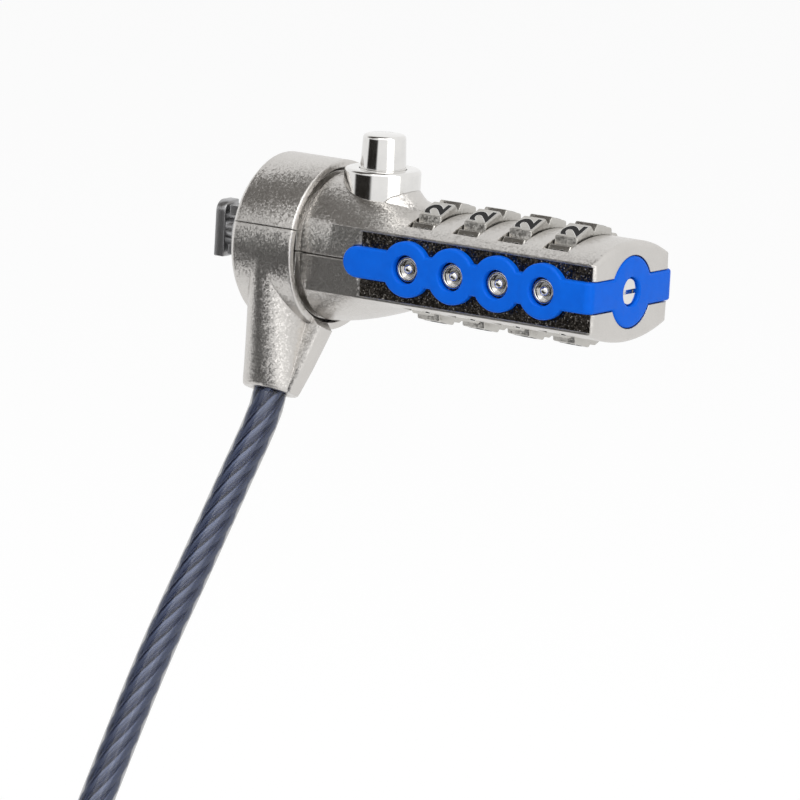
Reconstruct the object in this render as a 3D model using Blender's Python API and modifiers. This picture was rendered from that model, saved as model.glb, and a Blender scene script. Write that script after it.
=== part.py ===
"""A combination cable lock for a standard 3 x 7 mm security slot.

X runs along the lock from its nose to the slotted end, -Y is the side that shows the trim strip,
+Z is up through the push button. The origin is the centre of the nose face, which touches the device.
"""

import math

import bmesh
import bpy
import numpy as np
from mathutils import Matrix, Vector

mm = 0.001

# Clearances
RUNNING_GAP = 0.10 * mm  # between pieces that turn or slide in each other
SEAT_GAP = 0.05 * mm  # between pieces that rest on each other
SEAM = 0.12 * mm  # between two halves of a casting

# Nose and T-bar, made for a slot of 3 x 7 mm in a wall of about 2 mm
NOSE_LENGTH = 4.6 * mm
NOSE_RADIUS = 3.3 * mm
SLOT_WALL_SPACE = 2.2 * mm
T_HEAD_LENGTH = 6.9 * mm
T_HEAD_WIDTH = 2.9 * mm
T_HEAD_THICKNESS = 1.45 * mm
T_CORNER_RADIUS = 1.35 * mm
T_SHAFT_RADIUS = 1.3 * mm
GUIDE_PEG_LENGTH = 1.8 * mm
GUIDE_PEG_HEIGHT = 1.2 * mm
GUIDE_PEG_WIDTH = 2.6 * mm
NOSE_FLANGE_RADIUS = 5.2 * mm
NOSE_FLANGE_THICKNESS = 1.4 * mm

# Swivel collar, with the boss that holds the cable
COLLAR_LENGTH = 9.1 * mm
COLLAR_WALL = 0.9 * mm
COLLAR_FRONT_WALL = 1.8 * mm
COLLAR_CHAMFER = 0.8 * mm
COLLAR_RIM_CHAMFER = 0.25 * mm
COLLAR_RIB_WIDTH = 1.4 * mm
COLLAR_RIB_HEIGHT = 1.8 * mm
SWIVEL_ANGLE = math.radians(-19.5)
BOSS_LENGTH = 8.55 * mm  # below the collar
BOSS_END_RADIUS = 3.5 * mm
BOSS_TOP = 3.85 * mm
BOSS_TOP_HALF_LENGTH = 4.15 * mm
BOSS_SIDE_INSET = 0.8 * mm  # where its sides leave the collar
BOSS_END_CHAMFER = 0.25 * mm
GUSSET_TOP_OVERHANG = 1.7 * mm
GUSSET_END_OVERHANG = 0.15 * mm
GUSSET_TOP_HALF_WIDTH = 1.7 * mm
GUSSET_END_HALF_WIDTH = 1.3 * mm
GUSSET_TOP_DEPTH = 1.8 * mm  # inside the collar's outer surface
GUSSET_CHAMFER = 0.4 * mm
COLLAR_PIN_RADIUS = 0.5 * mm
COLLAR_PIN_LENGTH = 4.0 * mm
WASHER_THICKNESS = 0.25 * mm

# Housing, in two halves that meet at Z = 0
NECK_GAP = 0.4 * mm  # round the housing neck, inside the collar
NECK_SHOULDER = 0.75 * mm  # from the flats out to the neck
SHOULDER_GROOVE_DEPTH = 0.45 * mm  # under the flats, between the collar and the body
SHOULDER_GROOVE_START = 0.5 * mm  # inside the collar's end
SHOULDER_ROUND = 0.9 * mm
SIDE_WALL = 0.7 * mm  # between a dial and the flat beside it
BODY_HALF_HEIGHT = 6.1 * mm
FLAT_EDGE_HEIGHT = 4.0 * mm
BLEND_LENGTH = 12.1 * mm
END_ROUND = 0.8 * mm
PANEL_DEPTH = 0.25 * mm
PANEL_HALF_HEIGHT = 3.7 * mm
PANEL_SLOPE = 0.8 * mm  # length of its sloped front end
PANEL_END_WALL = 0.8 * mm
PAD_LENGTH = 8.1 * mm
HOUSING_PIN_RADIUS = 0.7 * mm
HOUSING_PIN_LENGTH = 5.0 * mm

# Push button and its boss
BUTTON_FROM_COLLAR = 5.9 * mm
BUTTON_TOP_RADIUS = 2.6 * mm
BUTTON_RADIUS = 2.8 * mm
BUTTON_PROUD = 4.1 * mm
BUTTON_TRAVEL = 3.0 * mm
BUTTON_ROUND = 0.45 * mm
BUTTON_BOSS_RADIUS = 4.67 * mm
BUTTON_BOSS_TOP = 10.2 * mm
BUTTON_BOSS_CHAMFER = 0.45 * mm
BUTTON_SHOULDER = 2.2 * mm
BUTTON_FLANGE_RADIUS = 3.5 * mm
BUTTON_FLANGE_THICKNESS = 1.0 * mm
STEM_RADIUS = 2.2 * mm
STEM_BOTTOM = -0.4 * mm
FAIRING_LENGTH = 5.9 * mm
FAIRING_START_RADIUS = 4.4 * mm
FAIRING_START_TOP = 9.2 * mm
FAIRING_END_RADIUS = 2.2 * mm

# Crank that turns the T-bar a quarter turn as the button goes down
CRANK_PIN_RADIUS = 0.55 * mm
CRANK_DISC_THICKNESS = 1.3 * mm
CRANK_TO_YOKE = 0.55 * mm
YOKE_THICKNESS = 1.2 * mm
YOKE_SLACK = 0.12 * mm
YOKE_TOP = 4.4 * mm
YOKE_WALL = 0.55 * mm
RAMP_RISE = 1.0 * mm
RAMP_HALF_WIDTH = 0.8 * mm

# Code dials
DIAL_COUNT = 4
DIAL_PITCH = 6.5 * mm
DIAL_WIDTH = 3.2 * mm
DIAL_RADIUS = 7.45 * mm
DIAL_SIDES = 10
GRIP_NOTCH_ANGLE = math.radians(10.8)
GRIP_NOTCH_DEPTH = 0.85 * mm
FIRST_NOTCH_ANGLE = math.radians(3.9)  # from the top, to the front
DIAL_CHAMFER = 0.2 * mm
DIAL_FROM_BUTTON = 9.95 * mm
DIAL_GAP = 0.15 * mm  # each side of a dial in its window
DIAL_SWEEP_GAP = 0.2 * mm
DIAL_BORE_RADIUS = 4.6 * mm
DIAL_NOTCH_DEPTH = 0.5 * mm
WINDOW_HALF_WIDTH = 6.45 * mm
WINDOW_BOTTOM = 3.0 * mm
END_BLOCK_LENGTH = 7.0 * mm  # last dial's middle to the end face

# Code sleeves and the finned spindle through them
SLEEVE_LENGTH = 3.0 * mm
SPINDLE_RADIUS = 1.35 * mm
SPINDLE_TIP_RADIUS = 0.5 * mm
FIN_RADIUS = 2.7 * mm
FIN_WIDTH = 1.1 * mm
FIN_THICKNESS = 0.8 * mm
FIN_OFFSET = 2.45 * mm
GATE_GAP = 0.15 * mm
SPINDLE_BORE_RADIUS = 3.1 * mm
SPINDLE_TRAVEL = 1.0 * mm
SPINDLE_BEARING_LENGTH = 2.0 * mm

# Screw at the end that opens the code for setting
RESET_HEAD_RADIUS = 1.65 * mm
RESET_HEAD_DEPTH = 0.3 * mm  # below the end face
RESET_SHANK_RADIUS = 1.1 * mm
RESET_FLANGE_RADIUS = 2.9 * mm
RESET_FLANGE_THICKNESS = 0.6 * mm
RESET_FLANGE_DEPTH = 1.55 * mm
RESET_SLOT_WIDTH = 0.5 * mm
RESET_SLOT_DEPTH = 0.7 * mm

# Trim strip, one piece that wraps round the end
STRAP_HALF_HEIGHT = 1.9 * mm
STRIP_THICKNESS = 0.95 * mm
STRIP_CHAMFER = 0.22 * mm
STRIP_CORNER = 0.15 * mm  # inside; the outside turns round the strip's thickness more
STRAP_REACH = 35.55 * mm  # end face to the strap's round tip
RING_RADIUS = 3.4 * mm
RING_HOLE_RADIUS = 1.74 * mm
END_DISC_RADIUS = 4.35 * mm
END_DISC_HOLE_RADIUS = 1.78 * mm

# Detent plugs in the ring holes
PLUG_RADIUS = 1.5 * mm
PLUG_RIM = 0.25 * mm
PLUG_PROUD = 0.5 * mm
PLUG_RECESS = 0.45 * mm
PLUG_BORE_RADIUS = 0.5 * mm
DETENT_HEAD_RADIUS = 0.7 * mm

# Springs
BUTTON_SPRING_RADIUS = 1.6 * mm
BUTTON_SPRING_WIRE = 0.4 * mm
BUTTON_SPRING_TURNS = 6
SPINDLE_SPRING_RADIUS = 1.9 * mm
SPINDLE_SPRING_WIRE = 0.35 * mm
SPINDLE_SPRING_TURNS = 3
SPRING_POCKET_DEPTH = 1.2 * mm

# Cable: a steel rope in a clear sleeve
CABLE_RADIUS = 2.1 * mm
CABLE_GRIP = 5.9 * mm  # length of cable inside the boss
CRIMP_RADIUS = 2.75 * mm
CRIMP_LENGTH = 2.9 * mm
COIL_INNER_RADIUS = 19.0 * mm
COIL_PITCH = 4.75 * mm
COIL_LAYERS = 4
COIL_TURNS = 2.5
COIL_POINTS = 24
COIL_REVERSAL = 1.2 * mm
FLOOR = -92.0 * mm
COIL_START_Y = -76.2 * mm
FERRULE_LENGTH = 10.0 * mm
FERRULE_WALL = 0.9 * mm
LOOP_LENGTH = 24.0 * mm
LOOP_HALF_WIDTH = 10.5 * mm
CABLE_JOINT_GAP = 0.3 * mm

# Where the pieces come, from the sizes above
CHAMBER_RADIUS = DIAL_RADIUS + DIAL_SWEEP_GAP
FLAT_HALF_WIDTH = CHAMBER_RADIUS + SIDE_WALL
NECK_RADIUS = FLAT_HALF_WIDTH + NECK_SHOULDER
COLLAR_BORE = NECK_RADIUS + NECK_GAP
COLLAR_RADIUS = COLLAR_BORE + COLLAR_WALL
BOSS_REACH = COLLAR_RADIUS + BOSS_LENGTH
BOSS_TOP_HALF_WIDTH = COLLAR_RADIUS - BOSS_SIDE_INSET
GUSSET_TOP = COLLAR_RADIUS - GUSSET_TOP_DEPTH
COLLAR_START = NOSE_LENGTH
COLLAR_END = COLLAR_START + COLLAR_LENGTH
COLLAR_MIDDLE = (COLLAR_START + COLLAR_END) / 2
FRONT_WALL_END = COLLAR_START + COLLAR_FRONT_WALL
NECK_START = FRONT_WALL_END + WASHER_THICKNESS + 2 * SEAT_GAP
NECK_END = COLLAR_END + 0.2 * mm
RIB_START = COLLAR_MIDDLE - COLLAR_RIB_WIDTH / 2
RIB_END = COLLAR_MIDDLE + COLLAR_RIB_WIDTH / 2
RIB_BORE = COLLAR_BORE - COLLAR_RIB_HEIGHT
FLANGE_START = RIB_END
BUTTON_X = COLLAR_END + BUTTON_FROM_COLLAR
FIRST_DIAL_X = BUTTON_X + DIAL_FROM_BUTTON
DIAL_XS = [FIRST_DIAL_X + DIAL_PITCH * number for number in range(DIAL_COUNT)]
END_FACE = DIAL_XS[-1] + END_BLOCK_LENGTH
PANEL_FACE = FLAT_HALF_WIDTH - PANEL_DEPTH
CRANK_RADIUS = BUTTON_TRAVEL / math.sqrt(2)
YOKE_START = BUTTON_X - STEM_RADIUS - YOKE_THICKNESS / 2 + 0.1 * mm
YOKE_END = YOKE_START + YOKE_THICKNESS
CRANK_END = YOKE_START - CRANK_TO_YOKE
CRANK_START = CRANK_END - CRANK_DISC_THICKNESS
CRANK_DISC_RADIUS = CRANK_RADIUS + CRANK_PIN_RADIUS + 0.3 * mm
GEARBOX_START = CRANK_START - 0.25 * mm
GEARBOX_HALF_WIDTH = CRANK_RADIUS + CRANK_PIN_RADIUS + YOKE_WALL + 0.5 * mm
GEARBOX_END = BUTTON_X + STEM_RADIUS + 0.6 * mm
GEARBOX_FLOOR = STEM_BOTTOM - BUTTON_TRAVEL - CRANK_RADIUS + 0.6 * mm
BUTTON_CEILING = BUTTON_BOSS_TOP - BUTTON_SHOULDER
BUTTON_WELL_RADIUS = BUTTON_FLANGE_RADIUS + 3 * RUNNING_GAP
SPRING_POCKET_FLOOR = GEARBOX_FLOOR - SPRING_POCKET_DEPTH
SPINDLE_START = BUTTON_X + STEM_RADIUS + 2 * RUNNING_GAP
SPINDLE_END = DIAL_XS[-1] + DIAL_WIDTH / 2 + DIAL_GAP + 0.6 * mm
RESET_FLANGE_END = END_FACE - RESET_FLANGE_DEPTH
RESET_FLANGE_START = RESET_FLANGE_END - RESET_FLANGE_THICKNESS
STRIP_BASE = PANEL_FACE + SEAT_GAP
STRIP_FACE = STRIP_BASE + STRIP_THICKNESS
END_RECESS_FLOOR = END_FACE - STRIP_THICKNESS
STRIP_END_BASE = END_RECESS_FLOOR + SEAT_GAP
STRIP_END_FACE = STRIP_END_BASE + STRIP_THICKNESS
STRAP_TIP_X = END_FACE - STRAP_REACH
PLUG_START = CHAMBER_RADIUS + 0.05 * mm
PLUG_END = PANEL_FACE + PLUG_PROUD
PLUG_FLOOR = PLUG_END - PLUG_RECESS
CABLE_START = BOSS_REACH - CABLE_GRIP
CRIMP_END = CABLE_START - SEAT_GAP * 4
CRIMP_START = CRIMP_END - CRIMP_LENGTH
CABLE_REST_Z = FLOOR + CABLE_RADIUS

# Local Z becomes world X, so that an outline drawn in X and Y stands in the YZ plane
FACING_X = Matrix(((0, 0, 1, 0), (1, 0, 0, 0), (0, 1, 0, 0), (0, 0, 0, 1)))
# An outline drawn in X and Y stands in the XZ plane, and local Z points to -Y
FACING_FRONT = Matrix(((1, 0, 0, 0), (0, 0, -1, 0), (0, 1, 0, 0), (0, 0, 0, 1)))
HALF_TURN_Z = Matrix.Rotation(math.pi, 4, "Z")

for old in list(bpy.data.objects):
    bpy.data.objects.remove(old, do_unlink=True)
parts = bpy.data.collections.new("cable_lock")
cutters = bpy.data.collections.new("cutters")
housing_cutters = bpy.data.collections.new("housing_cutters")
collar_cutters = bpy.data.collections.new("collar_cutters")
bpy.context.scene.collection.children.link(parts)
bpy.context.scene.collection.children.link(cutters)
cutters.children.link(housing_cutters)
cutters.children.link(collar_cutters)


def finish(name, colour, roughness, metallic):
    made = bpy.data.materials.new(name)
    made.use_nodes = True
    shader = made.node_tree.nodes["Principled BSDF"]
    shader.inputs["Base Color"].default_value = (*colour, 1)
    shader.inputs["Roughness"].default_value = roughness
    shader.inputs["Metallic"].default_value = metallic
    made.diffuse_color = (*colour, 1)
    return made


PEARL_NICKEL = finish("pearl_nickel", (0.66, 0.65, 0.62), 0.32, 1.0)
BRIGHT_NICKEL = finish("bright_nickel", (0.72, 0.71, 0.68), 0.12, 1.0)
DIAL_NICKEL = finish("dial_nickel", (0.55, 0.54, 0.51), 0.3, 1.0)
TOOL_STEEL = finish("tool_steel", (0.36, 0.36, 0.37), 0.38, 1.0)
BRASS = finish("brass", (0.72, 0.52, 0.22), 0.35, 1.0)
SPRING_STEEL = finish("spring_steel", (0.5, 0.5, 0.5), 0.3, 1.0)
BLUE_TRIM = finish("blue_trim", (0.0, 0.155, 0.87), 0.3, 0.0)
CABLE_SLEEVE = finish("cable_sleeve", (0.07, 0.09, 0.15), 0.18, 0.3)


def moved(x=0.0, y=0.0, z=0.0):
    return Matrix.Translation((x, y, z))


def put(name, data, place, home, look, parent):
    """Adds an object to the parts, or to a collection of cutters."""
    thing = bpy.data.objects.new(name, data)
    home.objects.link(thing)
    thing.parent = parent
    thing.matrix_basis = place
    if look is not None:
        data.materials.append(look)
    if home is not parts:
        thing.hide_render = True
        thing.display_type = "WIRE"
    return thing


def from_bmesh(name, bm, place, home, look, parent):
    bmesh.ops.recalc_face_normals(bm, faces=bm.faces)
    data = bpy.data.meshes.new(name)
    bm.to_mesh(data)
    bm.free()
    data.shade_smooth()
    data.set_sharp_from_angle(angle=math.radians(35))
    return put(name, data, place, home, look, parent)


def box(name, low, high, home=None, look=None, parent=None):
    low, high = Vector(low), Vector(high)
    bm = bmesh.new()
    bmesh.ops.create_cube(bm, size=1.0)
    bmesh.ops.scale(bm, vec=high - low, verts=bm.verts)
    bmesh.ops.translate(bm, vec=(low + high) / 2, verts=bm.verts)
    return from_bmesh(name, bm, Matrix.Identity(4), home or cutters, look, parent)


def cylinder(name, radius, low, high, place, home=None, look=None, parent=None, sides=24):
    """A cylinder along the local Z of its place, from low to high."""
    bm = bmesh.new()
    bmesh.ops.create_cone(
        bm, cap_ends=True, segments=sides, radius1=radius, radius2=radius, depth=high - low
    )
    bmesh.ops.translate(bm, vec=(0, 0, (low + high) / 2), verts=bm.verts)
    return from_bmesh(name, bm, place, home or cutters, look, parent)


def turned(name, profile, place, home=None, look=None, parent=None, sides=24):
    """A profile of (radius, height) turned about local Z. It runs down its outer side."""
    data = bpy.data.meshes.new(name)
    points = [(radius, 0, height) for radius, height in profile]
    last = len(points) - 1
    edges = [(index, index + 1) for index in range(last)]
    if profile[0][0] > 0:
        edges.append((last, 0))
    data.from_pydata(points, edges, [])
    thing = put(name, data, place, home or parts, look, parent)
    screw = thing.modifiers.new("turn", "SCREW")
    screw.steps = screw.render_steps = sides
    screw.use_merge_vertices = True
    screw.merge_threshold = 1e-6
    screw.use_smooth_shade = True
    return thing


def as_mesh(thing, shrink=1.0):
    """The evaluated shape of a curve as a mesh object in its place, with its caps welded on."""
    bpy.context.view_layer.update()
    data = bpy.data.meshes.new_from_object(thing.evaluated_get(bpy.context.evaluated_depsgraph_get()))
    bm = bmesh.new()
    bm.from_mesh(data)
    bmesh.ops.scale(bm, vec=(shrink, shrink, shrink), verts=bm.verts)
    bmesh.ops.remove_doubles(bm, verts=bm.verts, dist=1e-6)
    bmesh.ops.recalc_face_normals(bm, faces=bm.faces)
    bm.to_mesh(data)
    bm.free()
    return data


def plate(name, outlines, low, high, place, home=None, look=None, parent=None):
    """Closed outlines in the local XY plane, holes included, as a plate from low to high."""
    data = bpy.data.curves.new(name, "CURVE")
    data.dimensions = "2D"
    data.fill_mode = "BOTH"
    data.extrude = (high - low) / 2 / mm
    for outline in outlines:
        spline = data.splines.new("POLY")
        spline.points.add(len(outline) - 1)
        spline.use_cyclic_u = True
        for point, (x, y) in zip(spline.points, outline):
            point.co = (x / mm, y / mm, 0, 1)
    drawn = put(name + "_outline", data, Matrix.Identity(4), cutters, None, None)
    solid = as_mesh(drawn, mm)
    bpy.data.objects.remove(drawn, do_unlink=True)
    solid.name = name
    middle = moved(z=(low + high) / 2)
    return put(name, solid, place @ middle, home or parts, look, parent)


def loft(name, loops, place, home=None, look=None, parent=None):
    """A closed skin through loops of equal numbers of points."""
    bm = bmesh.new()
    rings = [[bm.verts.new(point) for point in loop] for loop in loops]
    count = len(loops[0])
    for one, other in zip(rings, rings[1:]):
        for index in range(count):
            after = (index + 1) % count
            bm.faces.new((one[index], one[after], other[after], other[index]))
    bm.faces.new(rings[0][::-1])
    bm.faces.new(rings[-1])
    return from_bmesh(name, bm, place, home or parts, look, parent)


def combine(target, other, operation):
    step = target.modifiers.new(operation.lower(), "BOOLEAN")
    step.operation = operation
    step.solver = "EXACT"
    step.object = other


def cut_all(target, collection):
    step = target.modifiers.new("cuts", "BOOLEAN")
    step.operation = "DIFFERENCE"
    step.solver = "EXACT"
    step.operand_type = "COLLECTION"
    step.collection = collection


def circle(radius, sides, centre=(0.0, 0.0), start=0.0):
    angles = [start + math.tau * step / sides for step in range(sides)]
    return [(centre[0] + radius * math.cos(a), centre[1] + radius * math.sin(a)) for a in angles]


def tube(name, points, radius, resolution, look, parent=None, home=None):
    """A round tube along points, with filled ends."""
    data = bpy.data.curves.new(name, "CURVE")
    data.dimensions = "3D"
    data.bevel_depth = radius
    data.bevel_resolution = resolution
    data.use_fill_caps = True
    spline = data.splines.new("POLY")
    spline.points.add(len(points) - 1)
    for slot, point in zip(spline.points, points):
        slot.co = (*point, 1)
    spline.use_smooth = True
    return put(name, data, Matrix.Identity(4), home or parts, look, parent)


def smooth_route(points, spacing, before=None):
    """Points at an even spacing on a smooth curve through the given ones, coming from before."""
    ends = [before or 2 * points[0] - points[1], *points, 2 * points[-1] - points[-2]]
    fine = []
    for a, b, c, d in zip(ends, ends[1:], ends[2:], ends[3:]):
        for step in range(40):
            t = step / 40
            bend = (2 * a - 5 * b + 4 * c - d) * t**2 + (3 * b - a - 3 * c + d) * t**3
            fine.append(0.5 * (2 * b + (c - a) * t + bend))
    fine.append(points[-1])
    lengths = [0.0]
    for a, b in zip(fine, fine[1:]):
        lengths.append(lengths[-1] + (b - a).length)
    count = max(2, round(lengths[-1] / spacing))
    route = []
    for step in range(count + 1):
        wanted = lengths[-1] * step / count
        index = min(max(int(np.searchsorted(lengths, wanted)), 1), len(fine) - 1)
        share = (wanted - lengths[index - 1]) / (lengths[index] - lengths[index - 1])
        route.append(fine[index - 1].lerp(fine[index], share))
    return route


# ---- Housing ----


def housing_section(x, inset, side):
    """Half of the housing's outline at x: a flat on each side, and an arc over or under them."""
    share = min(max((x - NECK_END) / BLEND_LENGTH, 0), 1)
    height = NECK_RADIUS + (BODY_HALF_HEIGHT - NECK_RADIUS) * share**1.6
    edge = FLAT_EDGE_HEIGHT if share > 0 else math.sqrt(NECK_RADIUS**2 - FLAT_HALF_WIDTH**2)
    arc = ((height - edge) ** 2 + FLAT_HALF_WIDTH**2) / (2 * (height - edge))
    height -= inset
    widest = math.asin((FLAT_HALF_WIDTH - inset) / arc)
    steps = 12
    points = []
    for step in range(steps + 1):
        angle = widest * (2 * step / steps - 1)
        points.append((x, arc * math.sin(angle), side * (height - arc + arc * math.cos(angle))))
    points.append((x, FLAT_HALF_WIDTH - inset, side * SEAM / 2))
    points.append((x, inset - FLAT_HALF_WIDTH, side * SEAM / 2))
    return points


def housing_half(name, side):
    stations = [(NECK_START, 0.0), (NECK_END, 0.0)]
    stations += [(NECK_END + BLEND_LENGTH * share, 0.0) for share in (0.07, 0.22, 0.4, 0.6, 0.8, 1.0)]
    for angle in (0, 30, 60, 90):
        turn = math.radians(angle)
        stations.append((END_FACE - END_ROUND * (1 - math.sin(turn)), END_ROUND * (1 - math.cos(turn))))
    loops = [housing_section(x, inset, side) for x, inset in stations]
    return loft(name, loops, Matrix.Identity(4), look=PEARL_NICKEL)


def button_boss():
    """The round boss for the button, and the fairing that runs down from it to the first dial."""
    boss = turned(
        "button_boss",
        [
            (0, BUTTON_BOSS_TOP),
            (BUTTON_BOSS_RADIUS - BUTTON_BOSS_CHAMFER, BUTTON_BOSS_TOP),
            (BUTTON_BOSS_RADIUS, BUTTON_BOSS_TOP - BUTTON_BOSS_CHAMFER),
            (BUTTON_BOSS_RADIUS, WINDOW_BOTTOM),
            (0, WINDOW_BOTTOM),
        ],
        moved(x=BUTTON_X),
        home=cutters,
        sides=32,
    )
    bm = bmesh.new()
    ends = (
        (BUTTON_X, FAIRING_START_RADIUS, FAIRING_START_TOP),
        (BUTTON_X + FAIRING_LENGTH, FAIRING_END_RADIUS, BODY_HALF_HEIGHT + 0.4 * mm),
    )
    for x, radius, top in ends:
        for height, size in ((top, radius - 0.6 * mm), (top - 0.6 * mm, radius), (WINDOW_BOTTOM, radius)):
            for y_to_x, y in circle(size, 20):
                bm.verts.new((x + y_to_x, y, height))
    hull = bmesh.ops.convex_hull(bm, input=bm.verts)
    bmesh.ops.delete(bm, geom=hull["geom_interior"], context="VERTS")
    fairing = from_bmesh("button_fairing", bm, Matrix.Identity(4), cutters, None, None)
    return boss, fairing


def cut_housing():
    """Every pocket, bore and window that both halves of the housing share."""
    home = housing_cutters
    deep = 2 * COLLAR_RADIUS
    for number, x in enumerate(DIAL_XS, 1):
        low = x - DIAL_WIDTH / 2 - DIAL_GAP
        high = x + DIAL_WIDTH / 2 + DIAL_GAP
        cylinder(f"dial_chamber_{number}", CHAMBER_RADIUS, low, high, FACING_X, home, sides=24)
        for word, side in (("upper", 1), ("lower", -1)):
            near, far = sorted((side * WINDOW_BOTTOM, side * deep))
            corner = (high, WINDOW_HALF_WIDTH, far)
            box(f"{word}_window_{number}", (low, -WINDOW_HALF_WIDTH, near), corner, home)
        for word, facing in (("front", FACING_FRONT), ("back", HALF_TURN_Z @ FACING_FRONT)):
            across = x if word == "front" else -x
            place = facing @ moved(x=across)
            radius = PLUG_RADIUS + SEAT_GAP
            name = f"{word}_plug_bore_{number}"
            cylinder(name, radius, CHAMBER_RADIUS / 2, deep, place, home, sides=12)
    reset_chamber_end = RESET_FLANGE_END + RUNNING_GAP
    low = GEARBOX_END - RUNNING_GAP
    cylinder("spindle_bore", SPINDLE_BORE_RADIUS, low, reset_chamber_end, FACING_X, home)
    radius = RESET_HEAD_RADIUS + RUNNING_GAP
    cylinder("reset_bore", radius, reset_chamber_end - RUNNING_GAP, END_FACE + deep, FACING_X, home)
    box(
        "gearbox",
        (GEARBOX_START, -GEARBOX_HALF_WIDTH, GEARBOX_FLOOR),
        (GEARBOX_END, GEARBOX_HALF_WIDTH, YOKE_TOP + 0.3 * mm),
        home,
    )
    radius = T_SHAFT_RADIUS + RUNNING_GAP
    cylinder("t_shaft_bore", radius, FLANGE_START, GEARBOX_START + RUNNING_GAP, FACING_X, home)
    radius = NOSE_FLANGE_RADIUS + SEAT_GAP
    flange_end = FLANGE_START + NOSE_FLANGE_THICKNESS + SEAT_GAP
    cylinder("nose_flange_pocket", radius, FLANGE_START - SEAT_GAP, flange_end, FACING_X, home, sides=32)
    radius = NOSE_RADIUS + SEAT_GAP
    cylinder("nose_bore", radius, COLLAR_START, FLANGE_START, FACING_X, home, sides=32)
    turned(
        "swivel_groove",
        [
            (RIB_BORE - 3 * RUNNING_GAP, RIB_END + 3 * RUNNING_GAP),
            (deep, RIB_END + 3 * RUNNING_GAP),
            (deep, RIB_START - 3 * RUNNING_GAP),
            (RIB_BORE - 3 * RUNNING_GAP, RIB_START - 3 * RUNNING_GAP),
        ],
        FACING_X,
        home=home,
        sides=32,
    )
    turned("shoulder_groove", shoulder_profile(deep), FACING_X, home=home, sides=32)
    upward = moved(x=BUTTON_X)
    cylinder("button_well", BUTTON_WELL_RADIUS, STEM_RADIUS, BUTTON_CEILING, upward, home, sides=32)
    radius = BUTTON_RADIUS + RUNNING_GAP
    cylinder("button_bore", radius, BUTTON_CEILING - RUNNING_GAP, deep, upward, home, sides=32)
    radius = BUTTON_SPRING_RADIUS + BUTTON_SPRING_WIRE / 2 + 2 * RUNNING_GAP
    cylinder("spring_pocket", radius, SPRING_POCKET_FLOOR, GEARBOX_FLOOR + RUNNING_GAP, upward, home)
    for word, side in (("front", -1), ("back", 1)):
        near, far = sorted((side * PANEL_FACE, side * deep))
        start = COLLAR_END + PAD_LENGTH
        slope = (deep - PANEL_FACE) * PANEL_SLOPE / PANEL_DEPTH
        outline = [
            (start + PANEL_SLOPE, side * PANEL_FACE),
            (END_FACE - PANEL_END_WALL, side * PANEL_FACE),
            (END_FACE - PANEL_END_WALL, side * deep),
            (start + PANEL_SLOPE - slope, side * deep),
        ]
        level = Matrix.Identity(4)
        plate(f"{word}_panel", [outline], -PANEL_HALF_HEIGHT, PANEL_HALF_HEIGHT, level, home=home)
        half = STRAP_HALF_HEIGHT + RUNNING_GAP
        tip = STRAP_TIP_X + STRAP_HALF_HEIGHT
        box(f"{word}_strap_pocket", (tip, near, -half), (END_FACE, far, half), home)
        facing = FACING_FRONT if side < 0 else HALF_TURN_Z @ FACING_FRONT
        across = -side * tip
        cylinder(f"{word}_tip_pocket", half, PANEL_FACE, deep, facing @ moved(x=across), home)
    half = STRAP_HALF_HEIGHT + RUNNING_GAP
    box("end_strap_pocket", (END_RECESS_FLOOR, -deep, -half), (END_FACE + deep, deep, half), home)
    radius = END_DISC_RADIUS + RUNNING_GAP
    cylinder("end_disc_pocket", radius, END_RECESS_FLOOR, END_FACE + deep, FACING_X, home)
    for name, x, y in housing_pin_places():
        radius = HOUSING_PIN_RADIUS + SEAT_GAP
        reach = HOUSING_PIN_LENGTH / 2 + SEAT_GAP
        cylinder("bore_of_" + name, radius, -reach, reach, moved(x, y), home, sides=12)


def shoulder_profile(deep):
    """The groove between the collar and the body, with the body's rounded front edge."""
    start = COLLAR_END - SHOULDER_GROOVE_START
    floor = FLAT_HALF_WIDTH - SHOULDER_GROOVE_DEPTH
    brow = NECK_RADIUS + 2 * RUNNING_GAP
    profile = [(floor, NECK_END), (FLAT_HALF_WIDTH - RUNNING_GAP, NECK_END)]
    for degrees in (30, 60, 90):
        turn = math.radians(degrees)
        out = (brow - FLAT_HALF_WIDTH) * math.sin(turn)
        profile.append((FLAT_HALF_WIDTH + out, NECK_END + SHOULDER_ROUND * (1 - math.cos(turn))))
    profile.append((deep, profile[-1][1]))
    return [*profile, (deep, start), (floor, start)]


def housing_pin_places():
    """The pins that hold the halves together, in the solid blocks before and after the dials."""
    before = (GEARBOX_END + DIAL_XS[0] - DIAL_WIDTH / 2) / 2
    after = (DIAL_XS[-1] + DIAL_WIDTH / 2 + END_FACE) / 2
    y = (SPINDLE_BORE_RADIUS + PANEL_FACE) / 2
    return [
        ("housing_pin_1", before, -y),
        ("housing_pin_2", before, y),
        ("housing_pin_3", after, -y),
        ("housing_pin_4", after, y),
    ]


def make_housing():
    cut_housing()
    upper = housing_half("upper_housing", 1)
    for piece in button_boss():
        combine(upper, piece, "UNION")
    cut_all(upper, housing_cutters)
    lower = housing_half("lower_housing", -1)
    cut_all(lower, housing_cutters)
    for name, x, y in housing_pin_places():
        reach = HOUSING_PIN_LENGTH / 2
        cylinder(name, HOUSING_PIN_RADIUS, -reach, reach, moved(x, y), parts, TOOL_STEEL, sides=12)


# ---- Nose, T-bar and crank ----


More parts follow.
